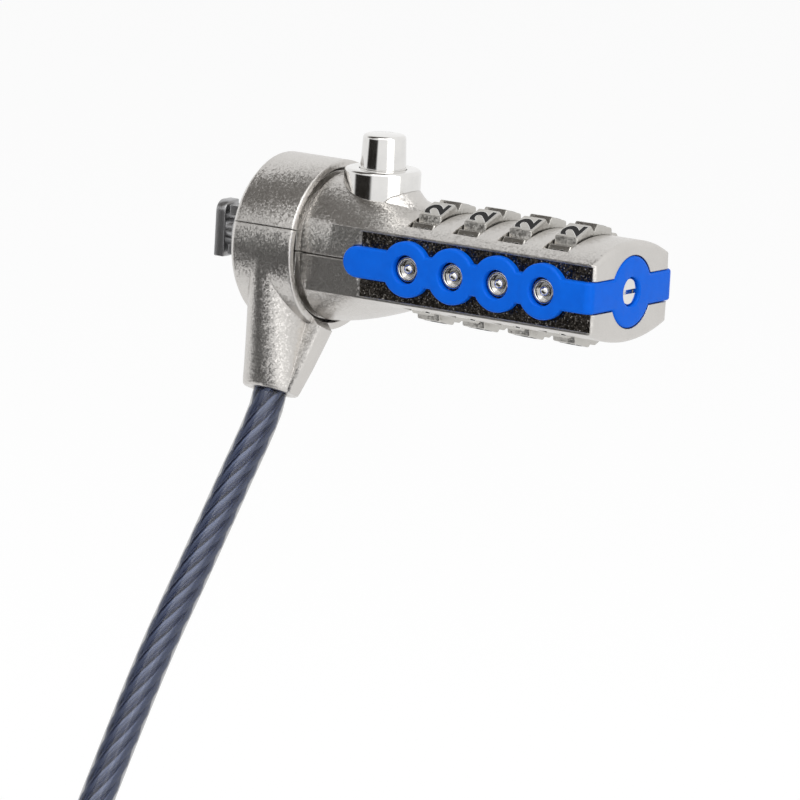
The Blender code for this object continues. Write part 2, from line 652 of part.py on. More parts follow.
def make_nose():
    """The fixed nose that enters the slot with two pegs, and is held in the housing by its flange."""
    bore = T_SHAFT_RADIUS + RUNNING_GAP
    flange_end = FLANGE_START + NOSE_FLANGE_THICKNESS
    nose = turned(
        "nose_core",
        [
            (bore, flange_end),
            (NOSE_FLANGE_RADIUS, flange_end),
            (NOSE_FLANGE_RADIUS, FLANGE_START),
            (NOSE_RADIUS, FLANGE_START),
            (NOSE_RADIUS, 0.3 * mm),
            (NOSE_RADIUS - 0.3 * mm, 0),
            (bore, 0),
        ],
        FACING_X,
        look=TOOL_STEEL,
        sides=32,
    )
    outer = NOSE_RADIUS - 0.3 * mm
    for word, side in (("upper", 1), ("lower", -1)):
        low, high = sorted((side * outer, side * (outer - GUIDE_PEG_HEIGHT)))
        peg = box(
            f"{word}_guide_peg",
            (-GUIDE_PEG_LENGTH, -GUIDE_PEG_WIDTH / 2, low),
            (NOSE_LENGTH / 2, GUIDE_PEG_WIDTH / 2, high),
        )
        combine(nose, peg, "UNION")
    return nose


def t_head_outline():
    """A bar with two opposite corners rounded, so that it can only turn one way in the slot."""
    half_width, half_length, radius = T_HEAD_WIDTH / 2, T_HEAD_LENGTH / 2, T_CORNER_RADIUS
    outline = []
    for side in (1, -1):
        outline.append((side * half_width, -side * half_length))
        centre = (side * (half_width - radius), side * (half_length - radius))
        for angle in (0, 22.5, 45, 67.5, 90):
            turn = math.radians(angle)
            across, along = radius * math.cos(turn), radius * math.sin(turn)
            outline.append((centre[0] + side * across, centre[1] + side * along))
    return [(-y, z) for y, z in outline][::-1]


def make_t_bar():
    back = -SLOT_WALL_SPACE
    t_bar = plate("t_bar", [t_head_outline()], back - T_HEAD_THICKNESS, back, FACING_X, look=TOOL_STEEL)
    shaft = cylinder("t_shaft", T_SHAFT_RADIUS, back - T_HEAD_THICKNESS / 2, CRANK_END, FACING_X)
    combine(t_bar, shaft, "UNION")
    bore = T_SHAFT_RADIUS + SEAT_GAP
    disc = turned(
        "crank_disc",
        [
            (bore, CRANK_END),
            (CRANK_DISC_RADIUS, CRANK_END),
            (CRANK_DISC_RADIUS, CRANK_START),
            (bore, CRANK_START),
        ],
        FACING_X,
        look=TOOL_STEEL,
    )
    level = CRANK_RADIUS / math.sqrt(2)
    place = FACING_X @ moved(-level, level)
    low, high = CRANK_START + 0.3 * mm, YOKE_END - 0.1 * mm
    pin = cylinder("crank_pin", CRANK_PIN_RADIUS, low, high, place, sides=16)
    combine(disc, pin, "UNION")


# ---- Push button ----


def make_button():
    """The button, its stem with the yoke that drives the crank, and the ramp that moves the spindle."""
    top = BUTTON_BOSS_TOP + BUTTON_PROUD
    flange_top = BUTTON_CEILING - SEAT_GAP
    flange_bottom = flange_top - BUTTON_FLANGE_THICKNESS
    button = turned(
        "push_button",
        [
            (0, top + 0.12 * mm),
            (BUTTON_TOP_RADIUS - BUTTON_ROUND, top),
            (BUTTON_TOP_RADIUS - BUTTON_ROUND * 0.3, top - BUTTON_ROUND * 0.3),
            (BUTTON_TOP_RADIUS, top - BUTTON_ROUND),
            (BUTTON_RADIUS, BUTTON_BOSS_TOP),
            (BUTTON_RADIUS, flange_top),
            (BUTTON_FLANGE_RADIUS, flange_top),
            (BUTTON_FLANGE_RADIUS, flange_bottom),
            (STEM_RADIUS, flange_bottom),
            (STEM_RADIUS, STEM_BOTTOM),
            (0, STEM_BOTTOM),
        ],
        moved(x=BUTTON_X),
        look=BRIGHT_NICKEL,
        sides=28,
    )
    level = CRANK_RADIUS / math.sqrt(2)
    slot_half = CRANK_PIN_RADIUS + YOKE_SLACK
    slot_outer = -CRANK_RADIUS - slot_half
    slot_inner = -level + slot_half
    yoke = box("yoke", (YOKE_START, slot_outer - YOKE_WALL, STEM_BOTTOM), (YOKE_END, -slot_outer, YOKE_TOP))
    slot = box(
        "yoke_slot",
        (YOKE_START - 0.2 * mm, slot_outer, level - slot_half),
        (YOKE_END + 0.1 * mm, slot_inner, level + slot_half),
    )
    back = BUTTON_X + STEM_RADIUS
    drawn = [
        (BUTTON_X, STEM_BOTTOM),
        (back, STEM_BOTTOM),
        (back, 0),
        (back + RAMP_RISE, BUTTON_TRAVEL),
        (back + RAMP_RISE, YOKE_TOP),
        (BUTTON_X, YOKE_TOP),
    ]
    ramp = plate("ramp", [drawn], -RAMP_HALF_WIDTH, RAMP_HALF_WIDTH, FACING_FRONT, home=cutters)
    combine(button, yoke, "UNION")
    combine(button, ramp, "UNION")
    combine(button, slot, "DIFFERENCE")


def spring_points(radius, length, turns):
    per_turn = 8
    count = per_turn * turns
    points = []
    for step in range(count + 1):
        angle = math.tau * step / per_turn
        points.append(Vector((radius * math.cos(angle), radius * math.sin(angle), length * step / count)))
    return points


def make_springs():
    wire = BUTTON_SPRING_WIRE / 2
    low = SPRING_POCKET_FLOOR + wire + SEAT_GAP
    high = STEM_BOTTOM - wire - SEAT_GAP
    points = spring_points(BUTTON_SPRING_RADIUS, high - low, BUTTON_SPRING_TURNS)
    points = [moved(x=BUTTON_X, z=low) @ point for point in points]
    tube("button_spring", points, wire, 0, SPRING_STEEL)
    wire = SPINDLE_SPRING_WIRE / 2
    low = SPINDLE_END + wire + SEAT_GAP
    high = RESET_FLANGE_START - wire - SEAT_GAP
    points = spring_points(SPINDLE_SPRING_RADIUS, high - low, SPINDLE_SPRING_TURNS)
    points = [moved(x=low) @ FACING_X @ point for point in points]
    tube("spindle_spring", points, wire, 0, SPRING_STEEL)


# ---- Dials, code sleeves, spindle ----


def notched_circle(inner, outer, slack):
    """A circle with one square notch for each digit."""
    outline = []
    half = math.radians(360 / DIAL_SIDES / 4)
    far = half * (1 - slack)
    for number in range(DIAL_SIDES):
        middle = math.tau * (number + 0.5) / DIAL_SIDES + math.pi / 2
        for radius, offset in ((inner, -half), (outer, -far), (outer, far), (inner, half)):
            angle = middle + offset
            outline.append((radius * math.cos(angle), radius * math.sin(angle)))
    return outline


def dial_outline(inset):
    """Ten flat pads with a V notch for the finger between each two."""
    outline = []
    for number in range(DIAL_SIDES):
        middle = math.pi / 2 + FIRST_NOTCH_ANGLE + math.tau * number / DIAL_SIDES
        half = GRIP_NOTCH_ANGLE / 2
        bottom = DIAL_RADIUS - GRIP_NOTCH_DEPTH
        for radius, offset in ((DIAL_RADIUS, -half), (bottom, 0), (DIAL_RADIUS, half)):
            reach = radius - inset
            outline.append((reach * math.cos(middle + offset), reach * math.sin(middle + offset)))
    return outline


def make_dial(number, x):
    half = DIAL_WIDTH / 2
    loops = []
    edge = half - DIAL_CHAMFER
    for height, inset in ((-half, DIAL_CHAMFER), (-edge, 0), (edge, 0), (half, DIAL_CHAMFER)):
        loops.append([(u, v, height) for u, v in dial_outline(inset)])
    place = moved(x=x) @ FACING_X
    dial = loft(f"dial_{number}", loops, place, look=DIAL_NICKEL)
    outline = notched_circle(DIAL_BORE_RADIUS, DIAL_BORE_RADIUS + DIAL_NOTCH_DEPTH, 0)
    bore = plate(f"dial_bore_{number}", [outline], -DIAL_WIDTH, DIAL_WIDTH, place, home=cutters)
    combine(dial, bore, "DIFFERENCE")


def sleeve_outline():
    """A sleeve with two lugs that sit in two of the dial's notches."""
    outline = []
    radius = DIAL_BORE_RADIUS - RUNNING_GAP
    lug = radius + DIAL_NOTCH_DEPTH
    quarter = math.radians(360 / DIAL_SIDES / 4) * 0.7
    for side in range(2):
        middle = math.pi / 2 + math.pi / DIAL_SIDES + side * math.pi
        for size, angle in ((lug, -quarter), (lug, quarter)):
            outline.append((size * math.cos(middle + angle), size * math.sin(middle + angle)))
        for step in range(9):
            angle = middle + quarter + (math.pi - 2 * quarter) * step / 8
            outline.append((radius * math.cos(angle), radius * math.sin(angle)))
    return outline


def gate_outline():
    """The sleeve's bore, with the gate that lets a fin of the spindle through."""
    radius = SPINDLE_RADIUS + RUNNING_GAP
    half = FIN_WIDTH / 2 + GATE_GAP
    reach = FIN_RADIUS + GATE_GAP
    start = math.asin(half / radius)
    outline = [(reach, -half), (reach, half)]
    for step in range(15):
        angle = start + (math.tau - 2 * start) * step / 14
        outline.append((radius * math.cos(angle), radius * math.sin(angle)))
    return outline


def make_sleeve(number, x):
    half = SLEEVE_LENGTH / 2
    outlines = [sleeve_outline(), gate_outline()]
    plate(f"code_sleeve_{number}", outlines, -half, half, moved(x=x) @ FACING_X, look=BRASS)


def make_spindle():
    """The rod through all the sleeves, with a fin beside each one."""
    bearing = GEARBOX_END + SPINDLE_BEARING_LENGTH / 2
    end_collar = SPINDLE_END - 0.45 * mm
    bearing_radius = SPINDLE_BORE_RADIUS - RUNNING_GAP
    spindle = turned(
        "spindle",
        [
            (0, SPINDLE_END),
            (bearing_radius - 0.3 * mm, SPINDLE_END),
            (bearing_radius - 0.3 * mm, end_collar),
            (SPINDLE_RADIUS, end_collar),
            (SPINDLE_RADIUS, bearing + SPINDLE_BEARING_LENGTH),
            (bearing_radius, bearing + SPINDLE_BEARING_LENGTH),
            (bearing_radius, bearing),
            (SPINDLE_RADIUS, bearing),
            (SPINDLE_RADIUS, SPINDLE_START + 0.6 * mm),
            (SPINDLE_TIP_RADIUS, SPINDLE_START),
            (0, SPINDLE_START),
        ],
        FACING_X,
        look=TOOL_STEEL,
    )
    for number, x in enumerate(DIAL_XS[:-1], 1):
        low = x + FIN_OFFSET - FIN_THICKNESS / 2
        corner = (low + FIN_THICKNESS, FIN_RADIUS, FIN_WIDTH / 2)
        fin = box(f"fin_{number}", (low, 0, -FIN_WIDTH / 2), corner)
        combine(spindle, fin, "UNION")


def make_reset_screw():
    """The slotted screw in the end face."""
    head_top = END_FACE - RESET_HEAD_DEPTH
    flange_start, flange_end = RESET_FLANGE_START, RESET_FLANGE_END
    screw = turned(
        "code_reset_screw",
        [
            (0, head_top),
            (RESET_HEAD_RADIUS - 0.15 * mm, head_top),
            (RESET_HEAD_RADIUS, head_top - 0.15 * mm),
            (RESET_HEAD_RADIUS, flange_end),
            (RESET_FLANGE_RADIUS, flange_end),
            (RESET_FLANGE_RADIUS, flange_start),
            (RESET_SHANK_RADIUS, flange_start),
            (RESET_SHANK_RADIUS, SPINDLE_END + SPINDLE_TRAVEL + 0.3 * mm),
            (0, SPINDLE_END + SPINDLE_TRAVEL + 0.3 * mm),
        ],
        FACING_X,
        look=BRIGHT_NICKEL,
    )
    half = RESET_SLOT_WIDTH / 2
    low = (head_top - RESET_SLOT_DEPTH, -2 * RESET_HEAD_RADIUS, -half)
    slot = box("reset_slot", low, (head_top + mm, 2 * RESET_HEAD_RADIUS, half))
    combine(screw, slot, "DIFFERENCE")


# ---- Trim strip and detent plugs ----


def strip_path():
    """Places on the strip's inner face with their outward direction, from the front tip to the back tip."""
    start = STRAP_TIP_X + STRAP_HALF_HEIGHT
    corner_x, corner_y = STRIP_END_BASE - STRIP_CORNER, STRIP_BASE - STRIP_CORNER
    front = [(Vector((start, -STRIP_BASE, 0)), Vector((0, -1, 0)))]
    for angle in (0, 22.5, 45, 67.5, 90):
        turn = math.radians(angle)
        outward = Vector((math.sin(turn), -math.cos(turn), 0))
        front.append((Vector((corner_x, -corner_y, 0)) + STRIP_CORNER * outward, outward))
    mirror = Matrix.Diagonal((1, -1, 1))
    back = [(mirror @ place, mirror @ outward) for place, outward in reversed(front)]
    return front + back


def disc_profile(radius, base, face):
    """The section of a flat disc with a chamfered rim."""
    return [
        (0, face),
        (radius - 1.5 * STRIP_CHAMFER, face),
        (radius, face - 1.5 * STRIP_CHAMFER),
        (radius, base),
        (0, base),
    ]


def make_strip():
    half = STRAP_HALF_HEIGHT
    section = (
        (0, -half),
        (0, half),
        (STRIP_THICKNESS - STRIP_CHAMFER, half),
        (STRIP_THICKNESS, half - STRIP_CHAMFER),
        (STRIP_THICKNESS, STRIP_CHAMFER - half),
        (STRIP_THICKNESS - STRIP_CHAMFER, -half),
    )
    loops = []
    for place, outward in strip_path():
        loops.append([place + outward * depth + Vector((0, 0, height)) for depth, height in section])
    strip = loft("trim_strip", loops, Matrix.Identity(4), look=BLUE_TRIM)
    tip = STRAP_TIP_X + STRAP_HALF_HEIGHT
    holes = []
    for word, facing, way in (("front", FACING_FRONT, 1), ("back", HALF_TURN_Z @ FACING_FRONT, -1)):
        place = facing @ moved(x=way * tip)
        profile = disc_profile(half, STRIP_BASE, STRIP_FACE)
        combine(strip, turned(f"{word}_tip", profile, place, home=cutters, sides=18), "UNION")
        for number, x in enumerate(DIAL_XS, 1):
            place = facing @ moved(x=way * x)
            profile = disc_profile(RING_RADIUS, STRIP_BASE, STRIP_FACE)
            combine(strip, turned(f"{word}_ring_{number}", profile, place, home=cutters, sides=18), "UNION")
            hole = (f"{word}_ring_hole_{number}", RING_HOLE_RADIUS, STRIP_BASE - mm, STRIP_FACE + mm, place)
            holes.append(cylinder(*hole, sides=14))
    profile = disc_profile(END_DISC_RADIUS, STRIP_END_BASE, STRIP_END_FACE)
    combine(strip, turned("end_disc", profile, FACING_X, home=cutters), "UNION")
    low, high = STRIP_END_BASE - mm, STRIP_END_FACE + mm
    holes.append(cylinder("end_disc_hole", END_DISC_HOLE_RADIUS, low, high, FACING_X, sides=20))
    for hole in holes:
        combine(strip, hole, "DIFFERENCE")


def make_detents():
    """A plug in each ring hole, with the domed pin of the dial's detent in its middle."""
    number = 0
    for facing, way in ((FACING_FRONT, 1), (HALF_TURN_Z @ FACING_FRONT, -1)):
        for x in DIAL_XS:
            number += 1
            place = facing @ moved(x=way * x)
            turned(
                f"detent_plug_{number}",
                [
                    (PLUG_RADIUS - PLUG_RIM, PLUG_END),
                    (PLUG_RADIUS, PLUG_END),
                    (PLUG_RADIUS, PLUG_START),
                    (PLUG_BORE_RADIUS, PLUG_START),
                    (PLUG_BORE_RADIUS, PLUG_FLOOR),
                    (PLUG_RADIUS - PLUG_RIM, PLUG_FLOOR),
                ],
                place,
                look=BRIGHT_NICKEL,
                sides=12,
            )
            shank = PLUG_BORE_RADIUS - SEAT_GAP
            base = PLUG_FLOOR + SEAT_GAP
            turned(
                f"detent_pin_{number}",
                [
                    (0, base + 0.55 * mm),
                    (DETENT_HEAD_RADIUS * 0.6, base + 0.42 * mm),
                    (DETENT_HEAD_RADIUS, base),
                    (shank, base),
                    (shank, PLUG_START),
                    (0, PLUG_START),
                ],
                place,
                look=BRIGHT_NICKEL,
                sides=10,
            )


# ---- Swivel collar ----


def collar_bore_profile():
    """Inside the collar: nose hole, cavity, the rib in the neck's groove, a way past the button."""
    start, end = COLLAR_START - mm, COLLAR_END + 2 * GUSSET_TOP_OVERHANG
    nose = NOSE_RADIUS + 2 * RUNNING_GAP
    past_boss = BUTTON_BOSS_TOP + 2 * RUNNING_GAP
    boss_start = BUTTON_X - BUTTON_BOSS_RADIUS - 3 * RUNNING_GAP
    return [
        (0, end),
        (past_boss, end),
        (past_boss, boss_start),
        (COLLAR_BORE, boss_start - (past_boss - COLLAR_BORE)),
        (COLLAR_BORE, RIB_END),
        (RIB_BORE, RIB_END),
        (RIB_BORE, RIB_START),
        (COLLAR_BORE, RIB_START),
        (COLLAR_BORE, FRONT_WALL_END),
        (nose, FRONT_WALL_END),
        (nose, start),
        (0, start),
    ]


def collar_outer_profile():
    return [
        (0, COLLAR_END),
        (COLLAR_RADIUS - COLLAR_RIM_CHAMFER, COLLAR_END),
        (COLLAR_RADIUS, COLLAR_END - COLLAR_RIM_CHAMFER),
        (COLLAR_RADIUS, COLLAR_START + COLLAR_CHAMFER),
        (COLLAR_RADIUS - COLLAR_CHAMFER, COLLAR_START),
        (0, COLLAR_START),
    ]


def cable_boss(parent):
    """The cone that carries the cable, drawn in from the collar's sides to a round end."""
    loops = []
    for reach, half_length, half_width in (
        (BOSS_TOP, BOSS_TOP_HALF_LENGTH, BOSS_TOP_HALF_WIDTH),
        (BOSS_REACH - BOSS_END_CHAMFER, BOSS_END_RADIUS, BOSS_END_RADIUS),
        (BOSS_REACH, BOSS_END_RADIUS - BOSS_END_CHAMFER, BOSS_END_RADIUS - BOSS_END_CHAMFER),
    ):
        loop = circle(1.0, 28)
        loops.append([(COLLAR_MIDDLE + half_length * u, half_width * v, -reach) for u, v in loop])
    return loft("cable_boss", loops, Matrix.Identity(4), home=cutters, parent=parent)


def gusset(parent):
    """The rib that props the boss under the housing neck."""
    loops = []
    top_end = COLLAR_END + GUSSET_TOP_OVERHANG
    low_end = COLLAR_MIDDLE + BOSS_END_RADIUS + GUSSET_END_OVERHANG
    c = GUSSET_CHAMFER
    for reach, end, half in (
        (GUSSET_TOP, top_end, GUSSET_TOP_HALF_WIDTH),
        (BOSS_REACH - BOSS_END_CHAMFER, low_end, GUSSET_END_HALF_WIDTH),
        (BOSS_REACH, low_end - BOSS_END_CHAMFER, GUSSET_END_HALF_WIDTH - BOSS_END_CHAMFER),
    ):
        outline = (
            (COLLAR_MIDDLE, -half),
            (end - 2 * c, -half),
            (end, c - half),
            (end, half - c),
            (end - 2 * c, half),
            (COLLAR_MIDDLE, half),
        )
        loops.append([(x, y, -reach) for x, y in outline])
    return loft("gusset", loops, Matrix.Identity(4), home=cutters, parent=parent)


def make_collar(pivot):
    far = 2 * BOSS_REACH
    boss, rib = cable_boss(pivot), gusset(pivot)
    turned("collar_inside", collar_bore_profile(), FACING_X, home=collar_cutters, parent=pivot, sides=36)
    downward = moved(x=COLLAR_MIDDLE) @ Matrix.Rotation(math.pi, 4, "X")
    radius = CRIMP_RADIUS + 2 * SEAT_GAP
    cylinder("crimp_pocket", radius, 0, CRIMP_END + SEAT_GAP, downward, collar_cutters, parent=pivot)
    radius = CABLE_RADIUS + RUNNING_GAP
    cylinder("cable_bore", radius, CRIMP_START, far, downward, collar_cutters, parent=pivot)
    pin_x = COLLAR_START + COLLAR_FRONT_WALL / 2
    pin_y = (NOSE_RADIUS + COLLAR_BORE) / 2
    for number, side in ((1, -1), (2, 1)):
        place = moved(pin_x, side * pin_y)
        reach, radius = COLLAR_PIN_LENGTH / 2, COLLAR_PIN_RADIUS
        cylinder(f"collar_pin_{number}", radius, -reach, reach, place, parts, TOOL_STEEL, pivot, sides=12)
        radius += SEAT_GAP
        reach += SEAT_GAP
        name = f"collar_pin_bore_{number}"
        cylinder(name, radius, -reach, reach, place, collar_cutters, parent=pivot, sides=12)
    for name, side in (("collar_upper", 1), ("collar_lower", -1)):
        half = turned(name, collar_outer_profile(), FACING_X, look=PEARL_NICKEL, parent=pivot, sides=44)
        if side < 0:
            combine(half, boss, "UNION")
            combine(half, rib, "UNION")
        near, away = sorted((side * SEAM / 2, -side * far))
        waste = box(name + "_waste", (-far, -far, near), (2 * far, far, away), parent=pivot)
        cut_all(half, collar_cutters)
        combine(half, waste, "DIFFERENCE")
    washer_start = FRONT_WALL_END + SEAT_GAP
    turned(
        "swivel_washer",
        [
            (NECK_RADIUS - 0.6 * mm, washer_start + WASHER_THICKNESS),
            (NECK_RADIUS - 0.6 * mm, washer_start),
            (NOSE_RADIUS + RUNNING_GAP, washer_start),
            (NOSE_RADIUS + RUNNING_GAP, washer_start + WASHER_THICKNESS),
        ],
        FACING_X,
        look=BRASS,
    )
    return downward


# ---- Cable ----


def coil_points(centre):
    """The coil in layers that spiral in and out, climbing half a turn where they reverse."""
    width = COIL_TURNS * COIL_PITCH
    level = COIL_PITCH
    outer = COIL_INNER_RADIUS + width
    points = []
    turn = math.pi
    spiral_steps = round(COIL_TURNS * COIL_POINTS)
    climb_steps = COIL_POINTS // 2
    step_angle = math.tau / COIL_POINTS
    for layer in range(COIL_LAYERS):
        inward = layer % 2 == 0
        for step in range(spiral_steps + (layer == COIL_LAYERS - 1)):
            share = step / spiral_steps
            radius = outer - width * share if inward else COIL_INNER_RADIUS + width * share
            points.append((turn, radius, layer * level))
            turn += step_angle
        if layer == COIL_LAYERS - 1:
            break
        edge = COIL_INNER_RADIUS if inward else outer
        way = -1 if inward else 1
        for step in range(climb_steps):
            share = step / climb_steps
            radius = edge + way * COIL_REVERSAL * math.sin(math.pi * share)
            rise = (1 - math.cos(math.pi * share)) / 2
            points.append((turn, radius, (layer + rise) * level))
            turn += step_angle
    path = []
    for angle, radius, height in points:
        path.append(centre + Vector((radius * math.cos(angle), radius * math.sin(angle), height)))
    return path


def tail_points(centre):
    """From the coil's last turn up onto its top, and round to the crimp of the end loop."""
    outer = COIL_INNER_RADIUS + COIL_TURNS * COIL_PITCH
    top = (COIL_LAYERS - 1) * COIL_PITCH
    route = (
        (30, outer + 0.6 * mm, 0.32),
        (60, outer - 0.7 * mm, 0.83),
        (87, outer - 2.8 * mm, 1.02),
        (116, outer - 6.2 * mm, 1.02),
        (140, outer - 10.4 * mm, 1.02),
    )
    points = []
    for degrees, radius, rise in route:
        angle = math.radians(degrees)
        height = top + rise * COIL_PITCH
        points.append(centre + Vector((radius * math.cos(angle), radius * math.sin(angle), height)))
    end = points[-1] + Vector((-1.6, -6.0, 0)) * mm
    return [*points, end, end + Vector((0, -2 * CABLE_RADIUS, 0))]


def least_gap(points, radius):
    """The least gap between a tube's stretches that aren't neighbours along it."""
    array = np.array([tuple(point) for point in points])
    along = np.concatenate([[0], np.cumsum(np.linalg.norm(np.diff(array, axis=0), axis=1))])
    gap = math.inf
    for index, point in enumerate(array):
        away = array[along > along[index] + 8 * radius]
        if len(away):
            gap = min(gap, float(np.linalg.norm(away - point, axis=1).min()) - 2 * radius)
    return gap


def make_cable(pivot, downward):
    cylinder("cable_crimp", CRIMP_RADIUS, CRIMP_START, CRIMP_END, downward, parts, BRIGHT_NICKEL, pivot, 20)
    lean = Matrix.Rotation(SWIVEL_ANGLE, 4, "X")
    inside = lean @ Vector((COLLAR_MIDDLE, 0, -CABLE_START))
    below_mouth = lean @ Vector((COLLAR_MIDDLE, 0, -BOSS_REACH - CABLE_RADIUS))
    x = COLLAR_MIDDLE
    start = Vector((x, COIL_START_Y, CABLE_REST_Z))
    route = [
        below_mouth,
        Vector((x, -13.4 * mm, -28.6 * mm)),
        Vector((x, -20.4 * mm, -37.9 * mm)),
        Vector((x, -28.2 * mm, -48.2 * mm)),
        Vector((x, -38.2 * mm, -63.6 * mm)),
        Vector((x, -45.6 * mm, -75.6 * mm)),
        Vector((x, -54.2 * mm, -85.3 * mm)),
        Vector((x, -63.6 * mm, -89.4 * mm)),
        start + Vector((0, 2 * CABLE_RADIUS + CABLE_JOINT_GAP, 0)),
    ]
    stretch = [inside, *smooth_route(route, 2.2 * 2 * CABLE_RADIUS, inside)]
    tube("cable", stretch, CABLE_RADIUS, 2, CABLE_SLEEVE)
    centre = start + Vector((COIL_INNER_RADIUS + COIL_TURNS * COIL_PITCH, 0, 0))
    coil = coil_points(centre)
    tail = smooth_route([coil[-1], *tail_points(centre)], 6 * mm)
    coil = [start + Vector((0, 2 * CABLE_RADIUS, 0)), *coil, *tail[1:]]
    print(f"coil: least gap to itself {least_gap(coil, CABLE_RADIUS) / mm:.2f} mm")
    lengths = [sum((b - a).length for a, b in zip(line, line[1:])) for line in (stretch, coil)]
    print(f"cable: {lengths[0]:.4f} m free, {lengths[1]:.4f} m in the coil, {sum(lengths):.4f} m in all")
    tube("cable_coil", coil, CABLE_RADIUS, 1, CABLE_SLEEVE)
    make_end_loop(coil[-1])


def make_end_loop(cable_end):
    """The crimp on the cable's far end, and the loop that the lock is passed through."""
    height = CABLE_RADIUS + FERRULE_WALL
    half_width = 2 * CABLE_RADIUS + FERRULE_WALL
    outline = []
    for side in (1, -1):
        for step in range(7):
            angle = math.radians(-90 + 30 * step)
            u = side * (half_width - height + height * math.cos(angle))
            outline.append((u, side * height * math.sin(angle)))
    top = cable_end + Vector((0, -CABLE_JOINT_GAP, FERRULE_WALL))
    place = Matrix.Translation(top) @ FACING_FRONT
    plate("loop_ferrule", [outline], 0, FERRULE_LENGTH, place, look=BRIGHT_NICKEL)
    begin = top + Vector((0, -FERRULE_LENGTH - CABLE_JOINT_GAP, -FERRULE_WALL))
    strand = CABLE_RADIUS + 0.25 * mm
    wide, long = LOOP_HALF_WIDTH - CABLE_RADIUS, LOOP_LENGTH - CABLE_RADIUS
    sketch = [
        (strand, 2 * CABLE_RADIUS),
        (0.62 * wide, 0.37 * long),
        (0.97 * wide, 0.6 * long),
        (0.86 * wide, 0.84 * long),
        (0.42 * wide, 0.975 * long),
    ]
    right = [begin + Vector((u, -v, 0)) for u, v in sketch]
    left = [begin + Vector((-u, -v, 0)) for u, v in reversed(sketch)]
    ends = [begin + Vector((side * strand, 0, 0)) for side in (1, -1)]
    route = smooth_route([*right, begin + Vector((0, -long, 0)), *left], 3.2 * mm)
    tube("end_loop", [ends[0], *route, ends[1]], CABLE_RADIUS, 2, CABLE_SLEEVE)


make_housing()
make_nose()
make_t_bar()
make_button()
make_springs()
for dial_number, dial_x in enumerate(DIAL_XS, 1):
    make_dial(dial_number, dial_x)
    make_sleeve(dial_number, dial_x)
make_spindle()
make_reset_screw()
make_strip()
make_detents()
swivel_pivot = bpy.data.objects.new("swivel_pivot", None)
parts.objects.link(swivel_pivot)
swivel_pivot.rotation_euler = (SWIVEL_ANGLE, 0, 0)
boss_axis = make_collar(swivel_pivot)
make_cable(swivel_pivot, boss_axis)
bpy.context.view_layer.update()
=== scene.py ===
import math

import bmesh
import bpy
import numpy as np
from mathutils import Matrix, Vector


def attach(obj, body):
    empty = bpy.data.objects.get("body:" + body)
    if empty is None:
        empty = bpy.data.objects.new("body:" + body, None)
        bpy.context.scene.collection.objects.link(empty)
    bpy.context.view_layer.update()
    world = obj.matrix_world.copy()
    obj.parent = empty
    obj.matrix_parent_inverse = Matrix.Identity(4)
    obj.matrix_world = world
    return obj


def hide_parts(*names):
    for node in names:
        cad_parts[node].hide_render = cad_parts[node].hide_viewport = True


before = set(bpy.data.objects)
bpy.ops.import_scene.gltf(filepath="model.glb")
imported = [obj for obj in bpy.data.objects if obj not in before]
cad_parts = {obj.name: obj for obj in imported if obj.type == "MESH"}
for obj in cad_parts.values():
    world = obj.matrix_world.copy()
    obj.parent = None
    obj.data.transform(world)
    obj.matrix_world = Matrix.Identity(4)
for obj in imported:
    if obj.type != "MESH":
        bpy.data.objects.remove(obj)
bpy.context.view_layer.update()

mm = 0.001
scene = bpy.context.scene
print("frame loaded:", len(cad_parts), "nodes")


def placed(name, data):
    made = bpy.data.objects.new(name, data)
    scene.collection.objects.link(made)
    return made


def meshOf(name, bm):
    data = bpy.data.meshes.new(name)
    bm.to_mesh(data)
    bm.free()
    return data


def evaluated(made):  # its mesh, with modifiers and curves worked out
    bpy.context.view_layer.update()
    return bpy.data.meshes.new_from_object(made.evaluated_get(bpy.context.evaluated_depsgraph_get()))


camera = {
    "aim": (19.74, 6.16, -18.92),  # the point at the middle of the picture, in mm
    "right": (0.8246, 0.5632, 0.0533),
    "back": (0.5480, -0.8186, 0.1720),
    "distance": 1.2,
    "width": 97.2,  # mm across the picture at the aim
}


def makeCamera():
    data = bpy.data.cameras.new("photoCamera")
    data.sensor_width = 36
    data.lens = 36 * camera["distance"] / (camera["width"] * mm)
    data.clip_start, data.clip_end = 0.05, 20
    made = placed("photoCamera", data)
    back = Vector(camera["back"]).normalized()
    up = back.cross(Vector(camera["right"])).normalized()
    right = up.cross(back)
    turn = Matrix((right, up, back)).transposed().to_4x4()
    made.matrix_world = Matrix.Translation(Vector(camera["aim"]) * mm + back * camera["distance"]) @ turn
    scene.camera = made


makeCamera()


class Field:  # a socket of one material, so that maths on it reads as Python
    def __init__(self, look, socket):
        self.look, self.socket = look, socket

    def __add__(self, other): return self.look.sum("ADD", self, other)
    def __radd__(self, other): return self.look.sum("ADD", other, self)
    def __sub__(self, other): return self.look.sum("SUBTRACT", self, other)
    def __mul__(self, other): return self.look.sum("MULTIPLY", self, other)
    def __truediv__(self, other): return self.look.sum("DIVIDE", self, other)
    def __pow__(self, other): return self.look.sum("POWER", self, other)


